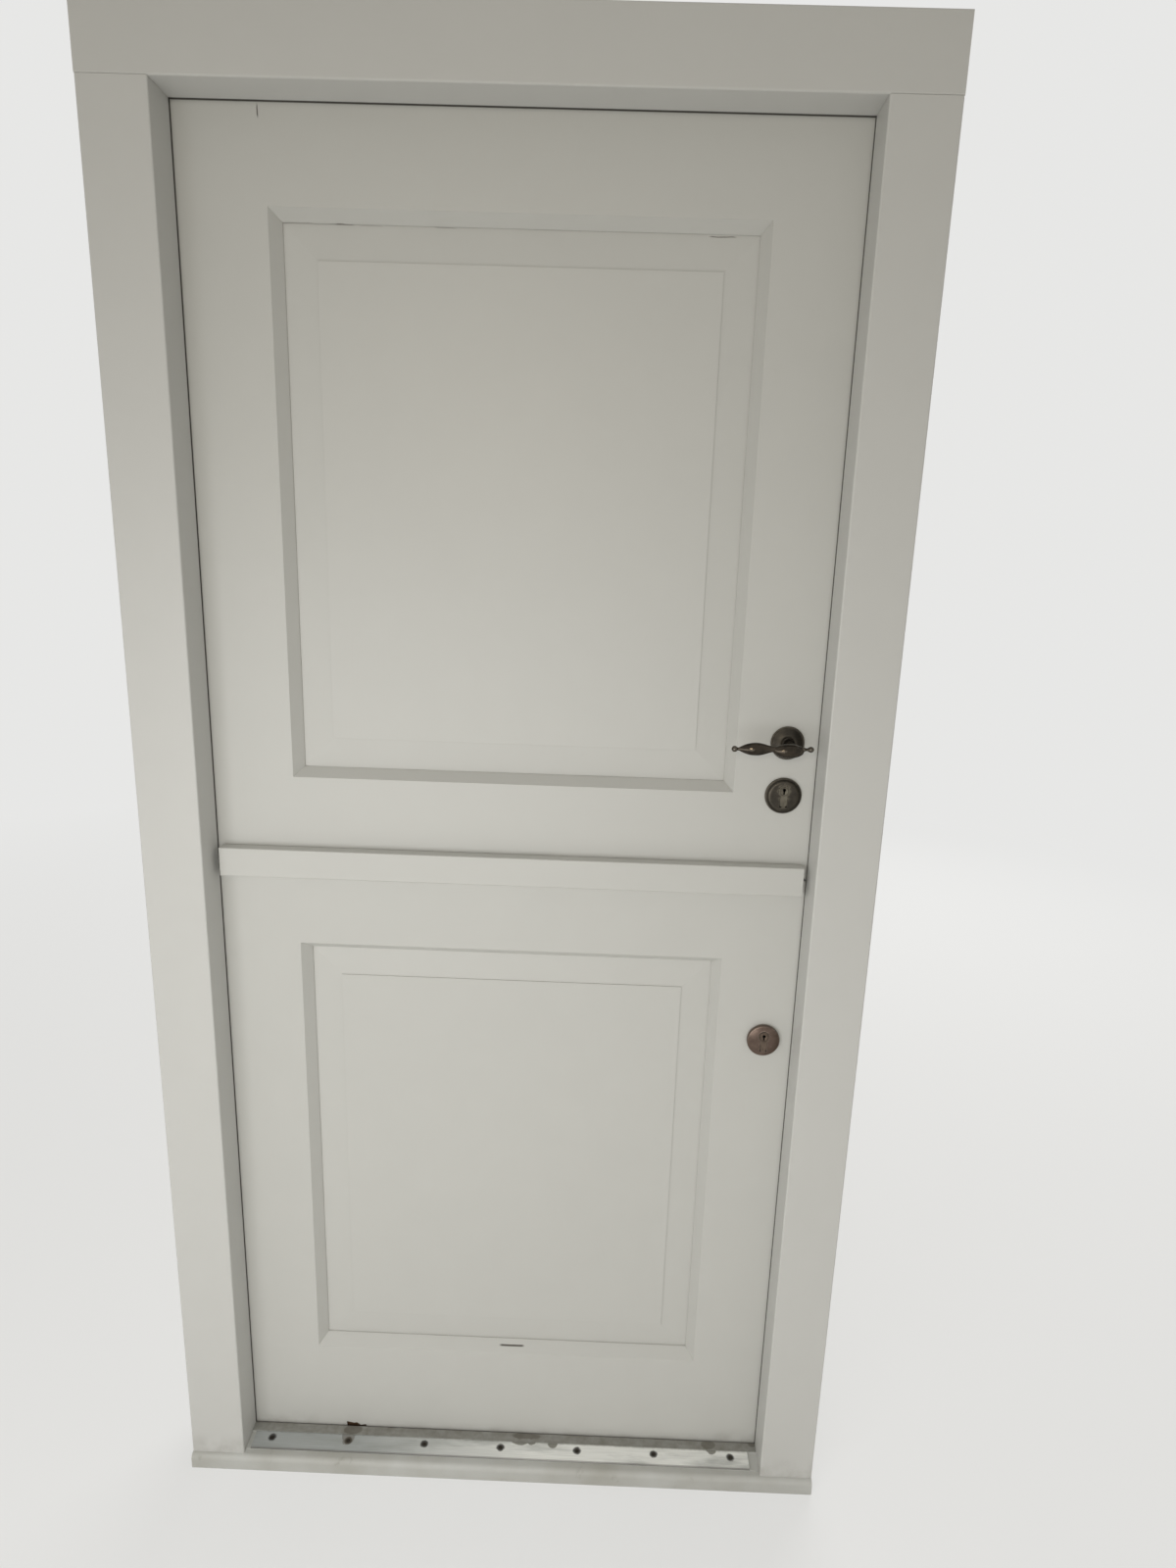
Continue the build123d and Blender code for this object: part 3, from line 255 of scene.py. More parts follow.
def bumpUp(tree, shader, height, strength, distance):
    made = place(
        tree, "ShaderNodeBump", {"Height": height, "Strength": strength, "Distance": distance * mm}
    )
    plug(tree, made, shader.inputs["Normal"])


def dress(material, *names):
    for name in names:
        for slot in nodes[name].material_slots:
            slot.material = material


# Painted timber: noises are (scale, detail, roughness), ramps are (from, to)

paint = {
    "frameTone": rgb(201, 201, 198), "leafTone": rgb(197, 197, 193), "grimeAndShadeTone": rgb(112, 106, 94),
    "roughness": 0.42, "specular": 0.45,
    "cloud": (2.3, 4), "patch": (14, 3), "cloudShare": 0.3, "cloudDepth": 0.9,
    "brush": (1, 4, 0.6), "peel": (700, 2), "brushShare": 0.8, "bump": 0.16, "bumpReach": 0.6,
    "cornerReach": 9.0, "corner": (0.75, 0.15), "cornerLeast": 0.25, "cornerShare": 0.45,
    "smear": (30, 5), "smearEdge": (0.42, 0.7), "smearShare": 0.35, "smearFull": 0.4,
}
grainStretch = {"x": (5, 260, 260), "z": (260, 260, 5)}
markLook = {
    "tone": rgb(58, 50, 40), "waver": (45, 3), "roomSide": (leafMiddle + 1, leafMiddle - 1),
    "core": 0.4, "fade": 5, "dent": 2,
}
# painted shade and dirt along the gaps between the leaves and the stops
gapShadeLook = {
    "tone": rgb(50, 46, 38), "stopEdge": 451.0, "stopTop": 2123.0,
    "leafRise": (-1.1, -0.3), "leafFall": (2.2, 0.8), "leafLift": -0.3,
    "leafRoom": (64, 62), "leafShare": 0.85,
    "frameReach": (34, 32), "frameRise": (56.2, 57), "frameFall": (62, 60), "frameShare": 0.7,
}
chip = {
    "tone": rgb(62, 46, 34), "fibreTone": rgb(92, 72, 54), "fibre": (1, 4, 0.6, (60, 900, 900)),
    "fibreEdge": (0.3, 0.7), "middle": -268, "half": (19.5, 18.8),
    "rise": (60.15, 60.4), "fall": (63.9, 63.6), "top": (39, 38.4),
}


def lineMark(tree, x, z, mark, waver):
    along, across = (x, z) if mark["run"] == "x" else (z, x)
    offset = minus(tree, plus(tree, across, sway(tree, waver, mark["wander"])), mark["level"] * mm)
    body = rampMm(tree, absolute(tree, offset), mark["thick"], markLook["core"] * mark["thick"])
    reach = absolute(tree, minus(tree, along, mark["middle"] * mm))
    fade = min(markLook["fade"], mark["half"] / 2)
    return times(tree, body, rampMm(tree, reach, mark["half"], mark["half"] - fade))


def blot(tree, x, y, waver, middleX, middleY, halfX, halfY, wander):  # a ragged round patch
    ragged = sway(tree, waver, wander)
    a = calc(tree, "DIVIDE", plus(tree, minus(tree, x, middleX * mm), ragged), halfX * mm)
    b = calc(tree, "DIVIDE", plus(tree, minus(tree, y, middleY * mm), ragged), halfY * mm)
    return ramp(tree, plus(tree, times(tree, a, a), times(tree, b, b)), 1.15, 0.8)


def leafGapShade(tree, x, y, z):  # painted shade and dirt on the leaf, where it runs behind the stops
    lines = []
    for across, edge in (
        (absolute(tree, x), gapShadeLook["stopEdge"]), (z, gapShadeLook["stopTop"] + gapShadeLook["leafLift"])
    ):
        rise = [edge + step for step in gapShadeLook["leafRise"]]
        fall = [edge + step for step in gapShadeLook["leafFall"]]
        lines.append(between(tree, across, rise, fall))
    return times(tree, largest(tree, *lines), rampMm(tree, y, *gapShadeLook["leafRoom"]))


def frameGapShade(tree, x, y, z):  # painted shade and dirt on the frame, at the foot of the stops
    inside = between(tree, y, gapShadeLook["frameRise"], gapShadeLook["frameFall"])
    for across, edge in ((absolute(tree, x), gapShadeLook["stopEdge"]), (z, gapShadeLook["stopTop"])):
        reach = [edge + step for step in gapShadeLook["frameReach"]]
        inside = times(tree, inside, rampMm(tree, across, *reach))
    return inside


def chipMask(tree, x, y, z):
    bare = between(tree, y, chip["rise"], chip["fall"])
    away = absolute(tree, minus(tree, x, chip["middle"] * mm))
    return times(tree, bare, rampMm(tree, away, *chip["half"]), rampMm(tree, z, *chip["top"]))


def paintMaterial(name, tone, grain, marks=(), grimeBelow=None, gap=None, chipped=False):
    material, tree, shader, coords = startMaterial(name)
    x, y, z = axes(tree, coords)
    cloud = speckle(tree, coords, *paint["cloud"])
    patch = speckle(tree, coords, *paint["patch"])
    share = times(tree, plus(tree, cloud, patch), paint["cloudShare"])
    share = calc(tree, "MINIMUM", share, 1.0)
    colour = blendColour(tree, share, tone, dimmed(tone, paint["cloudDepth"]))
    brush = speckle(tree, coords, *paint["brush"], grainStretch[grain])
    peel = speckle(tree, coords, *paint["peel"])
    brushShare = paint["brushShare"]
    height = plus(tree, times(tree, brush, brushShare), times(tree, peel, 1 - brushShare))
    # painted shade in corners and recesses, from an ambient-occlusion mask, mottled like dirt
    corner = place(
        tree, "ShaderNodeAmbientOcclusion", {"Distance": paint["cornerReach"] * mm}, samples=6
    ).outputs["AO"]
    cornerShadeAndGrime = times(tree, ramp(tree, corner, *paint["corner"]), plus(tree, paint["cornerLeast"], patch))
    colour = tint(tree, colour, cornerShadeAndGrime, paint["cornerShare"], paint["grimeAndShadeTone"])
    if grimeBelow is not None:
        low = rampMm(tree, z, grimeBelow, paint["smearFull"] * grimeBelow)
        smear = ramp(tree, speckle(tree, coords, *paint["smear"]), *paint["smearEdge"])
        colour = tint(tree, colour, times(tree, low, smear), paint["smearShare"], paint["grimeAndShadeTone"])
    waver = speckle(tree, coords, *markLook["waver"])
    roomSide = rampMm(tree, y, *markLook["roomSide"])
    for mark in marks:
        mask = times(tree, lineMark(tree, x, z, mark, waver), roomSide)
        colour = tint(tree, colour, mask, mark["depth"], markLook["tone"])
        height = minus(tree, height, times(tree, mask, markLook["dent"] * mark["depth"]))
    # painted shade and dirt in the gaps along the stops
    if gap == "leaf":
        colour = tint(tree, colour, leafGapShade(tree, x, y, z), gapShadeLook["leafShare"], gapShadeLook["tone"])
    if gap == "frame":
        colour = tint(tree, colour, frameGapShade(tree, x, y, z), gapShadeLook["frameShare"], gapShadeLook["tone"])
    if chipped:
        fibre = ramp(tree, speckle(tree, coords, *chip["fibre"]), *chip["fibreEdge"])
        wood = blendColour(tree, fibre, chip["tone"], chip["fibreTone"])
        colour = blendColour(tree, chipMask(tree, x, y, z), colour, wood)
    plug(tree, colour, shader.inputs["Base Color"])
    shader.inputs["Roughness"].default_value = paint["roughness"]
    shader.inputs["Specular IOR Level"].default_value = paint["specular"]
    bumpUp(tree, shader, height, paint["bump"], paint["bumpReach"])
    return material


def line(run, middle, half, level, thick, depth, wander=2.0):
    return {
        "run": run, "middle": middle, "half": half, "level": level,
        "thick": thick, "depth": depth, "wander": wander,
    }


seamCracks = [
    line("x", -280, 45, 1989.5, 0.7, 0.22),
    line("x", -235, 14, 1989.5, 0.75, 0.5),
    line("x", -200, 17, 1989.0, 0.7, 0.3),
    line("x", -100, 16, 1989.0, 0.7, 0.4),
    line("x", 268, 19, 1987.5, 0.85, 0.75),
]
slitInLowerMoulding = [line("x", 10, 23, 209, 1.2, 0.95, 0.6)]
scratchOnStile = [line("z", 2112, 9, -338.6, 1.1, 0.85, 3.0)]
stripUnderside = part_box("meeting_strip")[0][2] / mm
# painted shadow and joint line on the leaf, just under the meeting strip's bottom edge
stripJointAndShadow = [line("x", 0, 440, stripUnderside - 0.5, 1.7, 0.7, 0.3)]

frameTone, leafTone = paint["frameTone"], paint["leafTone"]
frameUpright = paintMaterial("framePaintUpright", frameTone, "z", grimeBelow=70, gap="frame")
frameLevel = paintMaterial("framePaintLevel", frameTone, "x", gap="frame")
leafUpright = paintMaterial(
    "leafPaintUpright", leafTone, "z", scratchOnStile + stripJointAndShadow, grimeBelow=60, gap="leaf"
)
leafLevel = paintMaterial("leafPaintLevel", leafTone, "x", seamCracks + stripJointAndShadow, gap="leaf")
lowerRail = paintMaterial(
    "lowerRailPaint", leafTone, "x", slitInLowerMoulding, grimeBelow=45, chipped=True
)
panelPaint = paintMaterial("panelPaint", leafTone, "z", seamCracks + slitInLowerMoulding)
stripPaint = paintMaterial("meetingStripPaint", leafTone, "x")

dress(frameUpright, "hinge_post", "lock_post")
dress(frameLevel, "head")
dress(leafUpright, *[n for n in nodes if n.endswith("_stile")])
dress(leafLevel, "upper_top_rail", "upper_bottom_rail", "lower_top_rail")
dress(lowerRail, "lower_bottom_rail")
dress(panelPaint, "upper_panel", "lower_panel")
dress(stripPaint, "meeting_strip")
print("timber painted")

# Sill: painted like the frame but set a little darker as painted shade, with a worn band, dark with
# dirt, behind the threshold strip

sillLook = {
    "tone": rgb(192, 193, 190), "shadeTone": rgb(170, 169, 162), "shade": (0.35, 0.75),
    "cloud": (9, 5), "fine": (60, 6, 0.65),
    "bandTone": rgb(132, 132, 126), "bareTone": rgb(98, 94, 86), "bare": (0.35, 0.7),
    "bandY": (37, 41), "bandZ": (29, 30.5), "bandWander": 6, "bandShare": 0.8,
    "stainTone": rgb(78, 70, 58), "stainShare": 0.55,
    "stains": [(-272, 50, 16, 9, 8), (366, 50, 13, 8, 8), (40, 52, 26, 6, 9), (446, 55, 7, 5, 4)],
    "scuffFine": (0.58, 0.72), "scuffCloud": (0.45, 0.65), "scuffShare": 0.35,
    "roughness": 0.4, "roughnessMore": 0.25, "bump": 0.25, "bumpReach": 0.8,
}


def sillMaterial():
    material, tree, shader, coords = startMaterial("sillPaint")
    x, y, z = axes(tree, coords)
    cloud = speckle(tree, coords, *sillLook["cloud"])
    fine = speckle(tree, coords, *sillLook["fine"])
    shade = ramp(tree, cloud, *sillLook["shade"])
    # the base tone is darker than the frame paint: painted shade
    tone = blendColour(tree, shade, sillLook["tone"], sillLook["shadeTone"])
    depthIn = plus(tree, y, sway(tree, fine, sillLook["bandWander"]))
    onTop = rampMm(tree, z, *sillLook["bandZ"])
    band = times(tree, rampMm(tree, depthIn, *sillLook["bandY"]), onTop)
    bare = ramp(tree, fine, *sillLook["bare"])
    worn = blendColour(tree, bare, sillLook["bandTone"], sillLook["bareTone"])
    tone = tint(tree, tone, band, sillLook["bandShare"], worn)
    stains = largest(tree, *[blot(tree, x, y, fine, *stain) for stain in sillLook["stains"]])
    tone = tint(tree, tone, times(tree, stains, band), sillLook["stainShare"], sillLook["stainTone"])
    scuff = times(
        tree, ramp(tree, fine, *sillLook["scuffFine"]), ramp(tree, cloud, *sillLook["scuffCloud"])
    )
    tone = tint(tree, tone, scuff, sillLook["scuffShare"], paint["grimeAndShadeTone"])
    plug(tree, tone, shader.inputs["Base Color"])
    gloss = plus(tree, sillLook["roughness"], times(tree, fine, sillLook["roughnessMore"]))
    plug(tree, gloss, shader.inputs["Roughness"])
    bumpUp(tree, shader, fine, sillLook["bump"], sillLook["bumpReach"])
    return material


dress(sillMaterial(), "sill")

# Metals: tone, worn tone, roughness, metallic

metalLook = {
    "cloud": (120, 5, 0.6), "worn": (0.35, 0.7),
    "spots": (312, 5, 0.7), "spotEdge": (0.56, 0.72), "spotShare": 0.4, "spotDepth": 0.35,
    "grain": (1500, 3, 0.6), "brushed": (1, 3, 0.6, (900, 900, 12)),
    "keywayShadeTone": rgb(10, 9, 8), "keywayEdge": 0.4,
    "glossShift": -0.08, "glossMore": 0.2, "bump": 0.12, "bumpReach": 0.15,
}


def metalMaterial(name, tone, wornTone, roughness, metallic=1.0, brushed=False, facesOut=None):
    material, tree, shader, coords = startMaterial(name)
    cloud = speckle(tree, coords, *metalLook["cloud"])
    fine = speckle(tree, coords, *metalLook["brushed" if brushed else "grain"])
    colour = blendColour(tree, ramp(tree, cloud, *metalLook["worn"]), tone, wornTone)
    spots = ramp(tree, speckle(tree, coords, *metalLook["spots"]), *metalLook["spotEdge"])
    grimy = dimmed(tone, metalLook["spotDepth"])
    colour = tint(tree, colour, spots, metalLook["spotShare"], grimy)
    if facesOut:  # painted shade inside the keyways, behind the two ends
        away = absolute(tree, minus(tree, axes(tree, coords)["Y"], leafMiddle * mm))
        keywayShade = rampMm(tree, away, facesOut, facesOut - metalLook["keywayEdge"])
        colour = blendColour(tree, keywayShade, colour, metalLook["keywayShadeTone"])
    plug(tree, colour, shader.inputs["Base Color"])
    shader.inputs["Metallic"].default_value = metallic
    gloss = plus(tree, roughness + metalLook["glossShift"], times(tree, cloud, metalLook["glossMore"]))
    plug(tree, gloss, shader.inputs["Roughness"])
    bumpUp(tree, shader, fine, metalLook["bump"], metalLook["bumpReach"])
    return material


metals = {
    "screw": metalMaterial("dullScrewSteel", rgb(74, 69, 63), rgb(50, 44, 38), 0.5, 0.85),
    "hinge": metalMaterial("hingeSteel", rgb(160, 158, 152), rgb(126, 124, 120), 0.38, brushed=True),
    "plate": metalMaterial("plateSteel", rgb(176, 174, 168), rgb(142, 140, 134), 0.36, brushed=True),
    "case": metalMaterial("caseZinc", rgb(150, 152, 152), rgb(122, 124, 124), 0.45),
    "nickel": metalMaterial("lockNickel", rgb(158, 153, 142), rgb(126, 121, 110), 0.38, 0.95, True),
    "bright": metalMaterial("plateScrewSteel", rgb(150, 148, 142), rgb(118, 115, 109), 0.42, 0.95),
    "upperPlug": metalMaterial(
        "upperPlugNickel", rgb(108, 103, 91), rgb(82, 77, 67), 0.45, 0.9, True, facesOut=34.9
    ),
    "lowerPlug": metalMaterial(
        "lowerPlugNickel", rgb(112, 98, 86), rgb(88, 77, 68), 0.42, 0.9, True, facesOut=38.4
    ),
    "dark": metalMaterial("darkSteel", rgb(70, 68, 64), rgb(48, 46, 43), 0.45),
}
slotLook = {
    "screw_steel": metals["screw"], "hinge_steel": metals["hinge"], "plate_steel": metals["plate"],
    "case_steel": metals["case"], "lock_nickel": metals["nickel"], "dark_steel": metals["dark"],
}
bronzeLook = {
    "cloud": (90, 5, 0.6), "warm": (0.3, 0.72), "fleck": (420, 6, 0.65),
    "ridge": (0.505, 0.56), "rub": (0.3, 0.65), "pit": (0.58, 0.72), "pitShare": 0.5, "pitDepth": 0.4,
    "metallic": 0.9, "glossMore": 0.14, "bump": 0.12, "bumpReach": 0.25,
    "ribs": 22.0, "ribShare": 0.6, "gripOut": 85.0, "gripHeight": 1313.5,
    "gripFall": (372, 366), "gripRise": (322, 328),
}


def gripRibs(tree, coords):  # faint lengthwise lines round the grip
    x, y, z = axes(tree, coords)
    proud = minus(tree, absolute(tree, minus(tree, y, leafMiddle * mm)), bronzeLook["gripOut"] * mm)
    around = calc(tree, "ARCTAN2", minus(tree, z, bronzeLook["gripHeight"] * mm), proud)
    wave = calc(tree, "SINE", times(tree, around, bronzeLook["ribs"]))
    onGrip = between(tree, x, bronzeLook["gripFall"], bronzeLook["gripRise"])
    return times(tree, wave, onGrip, bronzeLook["ribShare"])


def bronzeMaterial(name, dark, warm, bright, roughness, wear, ribs=False):
    material, tree, shader, coords = startMaterial(name)
    cloud = speckle(tree, coords, *bronzeLook["cloud"])
    fleck = speckle(tree, coords, *bronzeLook["fleck"])
    colour = blendColour(tree, ramp(tree, cloud, *bronzeLook["warm"]), dark, warm)
    ridge = place(tree, "ShaderNodeNewGeometry").outputs["Pointiness"]
    rubbed = times(tree, ramp(tree, ridge, *bronzeLook["ridge"]), ramp(tree, fleck, *bronzeLook["rub"]))
    colour = tint(tree, colour, rubbed, wear, bright)
    pit = ramp(tree, fleck, *bronzeLook["pit"])
    colour = tint(tree, colour, pit, bronzeLook["pitShare"], dimmed(dark, bronzeLook["pitDepth"]))
    plug(tree, colour, shader.inputs["Base Color"])
    shader.inputs["Metallic"].default_value = bronzeLook["metallic"]
    gloss = plus(tree, roughness, times(tree, fleck, bronzeLook["glossMore"]))
    plug(tree, gloss, shader.inputs["Roughness"])
    height = plus(tree, fleck, gripRibs(tree, coords)) if ribs else fleck
    bumpUp(tree, shader, height, bronzeLook["bump"], bronzeLook["bumpReach"])
    return material


agedBronze = bronzeMaterial(
    "agedBronze", rgb(42, 38, 33), rgb(68, 61, 52), rgb(206, 197, 180), 0.08, 0.8, ribs=True
)
darkRose = bronzeMaterial(
    "darkRoseBronze", rgb(50, 47, 42), rgb(70, 65, 57), rgb(140, 132, 116), 0.36, 0.7
)
nickelBronze = bronzeMaterial(
    "nickelBronze", rgb(88, 74, 66), rgb(112, 96, 86), rgb(184, 170, 156), 0.27, 0.6
)

for name, item in nodes.items():
    look = slotLook.get(item.material_slots[0].material.name.split(".")[0])
    if look:
        dress(look, name)
dress(metals["upperPlug"], "upper_cylinder")
dress(metals["lowerPlug"], "lower_cylinder")

rubberLook = {"dust": (80, 5), "dusty": (0.4, 0.75), "roughness": 0.75, "bump": 0.2, "bumpReach": 0.3}


def rubberMaterial(name, clean, dusty):
    material, tree, shader, coords = startMaterial(name)
    dust = speckle(tree, coords, *rubberLook["dust"])
    colour = blendColour(tree, ramp(tree, dust, *rubberLook["dusty"]), clean, dusty)
    plug(tree, colour, shader.inputs["Base Color"])
    shader.inputs["Roughness"].default_value = rubberLook["roughness"]
    bumpUp(tree, shader, dust, rubberLook["bump"], rubberLook["bumpReach"])
    return material


dress(rubberMaterial("sealRubber", rgb(52, 48, 42), rgb(88, 82, 72)), "frame_seal")
dress(rubberMaterial("dustySealRubber", rgb(112, 107, 98), rgb(140, 135, 125)), "meeting_seal")

# Threshold strip: painted sheen and wear brightening towards its right end, dull at its left end, with
# dark rings round the screws, stains, old sealant, dirt at the back edge and painted shade at the front
# edge

strip = {
    "screwStart": -411.5, "screwStep": 135.83, "screwY": 29.0, "screws": 7, "top": 30.0,
    "dullTone": rgb(178, 182, 182), "sheenAndWearTone": rgb(252, 253, 250), "sheenAndWearX": (-260, 60),
    "cloud": (1, 4, 0.55, (9, 40, 40)), "cloudEdge": (0.48, 0.72), "cloudShare": 0.65,
    "cloudTone": rgb(158, 161, 158),
    "streak": (1, 4, 0.6, (14, 700, 700)), "streakEdge": (0.4, 0.7), "streakShare": 0.25,
    "streakTone": rgb(132, 132, 128), "fine": (130, 6, 0.65),
    "ring": (8.2, 5.4), "ringWander": 5, "ringShare": 0.93, "ringTone": rgb(46, 43, 40),
    "stain": (-277, 38, 12, 17, 9), "stainShare": 0.5, "stainTone": rgb(92, 80, 64),
    "peels": [(30, 42, 15, 7, 5), (50, 42, 8, 6, 5), (88, 42, 9, 11, 5), (371, 42, 9, 9, 5)],
    "peelShare": 0.9, "peelTone": rgb(128, 127, 118),
    # dirt along the back edge, painted shade along the front edge
    "back": (41, 44), "backWander": 5, "backShare": 0.5, "front": (11, 9.6), "frontShadeShare": 0.7,
    "grimeAndShadeMost": 0.8, "grimeAndShadeTone": rgb(84, 80, 74),
    "metallic": 0.3, "roughness": 0.34, "roughnessMore": 0.3, "bump": 0.14, "bumpReach": 0.3,
}


def screwRings(tree, x, y, fine):
    pitch = strip["screwStep"]
    shifted = minus(tree, x, (strip["screwStart"] - pitch / 2) * mm)
    along = minus(tree, calc(tree, "MODULO", shifted, pitch * mm), pitch / 2 * mm)
    across = minus(tree, y, strip["screwY"] * mm)
    away = calc(tree, "SQRT", plus(tree, times(tree, along, along), times(tree, across, across)))
    return rampMm(tree, plus(tree, away, sway(tree, fine, strip["ringWander"])), *strip["ring"])


def stripMaterial():
    material, tree, shader, coords = startMaterial("dullAluminium")
    x, y, z = axes(tree, coords)
    streak = speckle(tree, coords, *strip["streak"])
    cloud = speckle(tree, coords, *strip["cloud"])
    fine = speckle(tree, coords, *strip["fine"])
    # painted sheen and wear: lighter towards the right end
    tone = blendColour(tree, rampMm(tree, x, *strip["sheenAndWearX"]), strip["dullTone"], strip["sheenAndWearTone"])
    dulled = ramp(tree, cloud, *strip["cloudEdge"])
    tone = tint(tree, tone, dulled, strip["cloudShare"], strip["cloudTone"])
    streaked = ramp(tree, streak, *strip["streakEdge"])
    tone = tint(tree, tone, streaked, strip["streakShare"], strip["streakTone"])
    tone = tint(tree, tone, screwRings(tree, x, y, fine), strip["ringShare"], strip["ringTone"])
    stain = blot(tree, x, y, fine, *strip["stain"])
    tone = tint(tree, tone, stain, strip["stainShare"], strip["stainTone"])
    for peel in strip["peels"]:  # old sealant over the back edge
        tone = tint(tree, tone, blot(tree, x, y, fine, *peel), strip["peelShare"], strip["peelTone"])
    # dirt along the back edge and painted shade along the front edge
    ragged = times(tree, fine, strip["backWander"] * mm)
    back = times(tree, rampMm(tree, plus(tree, y, ragged), *strip["back"]), strip["backShare"])
    front = times(tree, rampMm(tree, y, *strip["front"]), strip["frontShadeShare"])
    grimeAndShade = calc(tree, "MINIMUM", plus(tree, back, front), strip["grimeAndShadeMost"])
    tone = blendColour(tree, grimeAndShade, tone, strip["grimeAndShadeTone"])
    plug(tree, tone, shader.inputs["Base Color"])
    shader.inputs["Metallic"].default_value = strip["metallic"]
    gloss = plus(tree, strip["roughness"], times(tree, cloud, strip["roughnessMore"]))
    plug(tree, gloss, shader.inputs["Roughness"])
    bumpUp(tree, shader, plus(tree, streak, fine), strip["bump"], strip["bumpReach"])
    return material


dress(stripMaterial(), "threshold_strip")
print("metals and rubber dressed")

# Lever handles: turned grip, hub and shank, then cast into one

lever = {
    "x": 405.0, "height": 1313.0, "innerFace": 60.0, "outerFace": 114.0, "reach": 58.0,
    "rise": 1.8, "droop": 0.0235, "drop": 1.0, "hubShift": -7.5, "hubSet": 0.8,
    "grip": [
        (-89.9, 0.8), (-89.3, 2.4), (-87.9, 3.9), (-85.4, 4.8), (-82.9, 4.1), (-81.5, 2.5), (-80.8, 2.0),
        (-79.9, 2.1), (-78.2, 2.9), (-74.7, 4.8), (-69.0, 7.2), (-62.2, 9.0), (-55.4, 9.5), (-48.6, 9.0),
        (-41.5, 7.0), (-35.5, 5.0), (-30.5, 3.9), (-26.0, 3.7), (-10.0, 3.6), (4.0, 3.5), (8.6, 2.9),
        (9.6, 3.4), (11.2, 4.1), (12.8, 3.4), (13.8, 2.3), (16.4, 2.0), (18.2, 2.3), (19.4, 3.6),
        (22.2, 4.7), (24.8, 4.0), (26.3, 2.2), (26.8, 0.8),
    ],
    "hub": [
        (-23.3, 1.4), (-22.6, 3.3), (-20.0, 5.5), (-15.5, 7.9), (-9.0, 9.7), (-1.0, 10.4), (7.0, 9.9),
        (13.5, 8.0), (17.5, 5.5), (19.6, 3.3), (20.3, 1.4),
    ],
    "shank": [
        (0.4, 8.9), (8.3, 8.9), (8.3, 9.9), (10.6, 9.9), (11.1, 9.5), (11.6, 8.4), (14.5, 7.3),
        (19.0, 6.5), (24.0, 6.4), (34.0, 6.7), (46.0, 7.5), (56.0, 8.8), (61.0, 8.4), (64.5, 5.6),
        (66.0, 2.0),
    ],
    "socket": 4.0, "socketDepth": 32.0,
    "grubPlace": 24.0, "grubHole": 1.5, "grubDrop": 12, "grubDepth": 9,
    "voxel": 0.55, "smoothing": 0.5, "smoothings": 6, "facetAngle": 50,
}


def makeLever(name, face, out):
    axisY = face + out * lever["reach"]
    gripFoot = (lever["x"], axisY, lever["height"] + lever["rise"])
    grip = turnOnLathe("grip", gripFoot, (1, 0, lever["droop"]), lever["grip"])
    hubY, hubZ = axisY - out * lever["hubSet"], lever["height"] - lever["drop"]
    hub = turnOnLathe("hub", (lever["x"] + lever["hubShift"], hubY, hubZ), (1, 0, 0), lever["hub"])
    shank = turnOnLathe("shank", (lever["x"], face, lever["height"]), (0, out, 0), lever["shank"])
    for part in (grip, hub, shank):
        useModifier(part, "SUBSURF", levels=1, render_levels=1)
    carve(grip, hub, "UNION")
    carve(grip, shank, "UNION")
    body = settle(grip, name)
    useModifier(body, "REMESH", mode="VOXEL", voxel_size=lever["voxel"] * mm)
    useModifier(body, "SMOOTH", factor=lever["smoothing"], iterations=lever["smoothings"])
    side, depth = lever["socket"], lever["socketDepth"]
    ends = sorted((face, face + out * depth))
    carve(body, makeBlock(
        "socket",
        (lever["x"] - side, ends[0] - 1, lever["height"] - side),
        (lever["x"] + side, ends[1], lever["height"] + side),
    ))
    drillFoot = (lever["x"], face + out * lever["grubPlace"], lever["height"] - lever["grubDrop"])
    bore = [(0, lever["grubHole"]), (lever["grubDepth"], lever["grubHole"])]
    carve(body, turnOnLathe("drill", drillFoot, (0, 0, 1), bore, 24))
    body.data.materials.append(agedBronze)
    smoothOver(body, lever["facetAngle"])
    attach(body, "handle")
    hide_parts(name)


makeLever("inner_lever", lever["innerFace"], -1)
makeLever("outer_lever", lever["outerFace"], 1)
print("levers made")

# Roses: rim, bead and dome turned in one, then cut for the cylinder

roses = {
    "handle_roses": {
        "section": [
            (0.1, 9.1), (0.1, 24.6), (0.5, 24.95), (2.4, 24.95), (3.3, 24.5), (3.6, 23.5), (3.2, 22.6),
            (3.4, 21.7), (4.6, 19.6), (6.3, 16.2), (7.3, 13.4), (7.7, 12.0), (7.7, 9.4), (7.5, 9.1),
            (0.1, 9.1),
        ],
        "height": lever["height"],
        "body": "upper_leaf", "look": darkRose, "slot": "aged_bronze",
    },
    "upper_key_roses": {
        "section": [
            (0.1, 0.4), (0.1, 27.0), (0.5, 27.4), (2.6, 27.4), (3.4, 26.9), (3.6, 26.0), (3.4, 24.9),
            (4.6, 24.2), (6.6, 22.6), (7.2, 21.2), (7.35, 19.5), (7.35, 10.0), (7.35, 0.4),
        ],
        "plugHeight": 1241.0,
        "body": "upper_leaf", "look": darkRose, "slot": "aged_bronze",
    },
    "lower_key_roses": {
        "section": [
            (0.1, 0.4), (0.1, 25.5), (0.5, 25.9), (7.2, 25.9), (8.1, 25.4), (8.5, 24.5), (8.7, 23.4),
            (9.3, 21.4), (10.1, 17.8), (10.6, 14.4), (10.85, 12.0), (10.85, 6.0), (10.85, 0.4),
        ],
        "plugHeight": 839.5,
        "body": "lower_leaf", "look": nickelBronze, "slot": "nickel_bronze",
    },
}
keyHole = {"radius": 8.9, "web": 5.4, "drop": 24.9, "roseDrop": 8.0, "behind": 2, "before": 16}


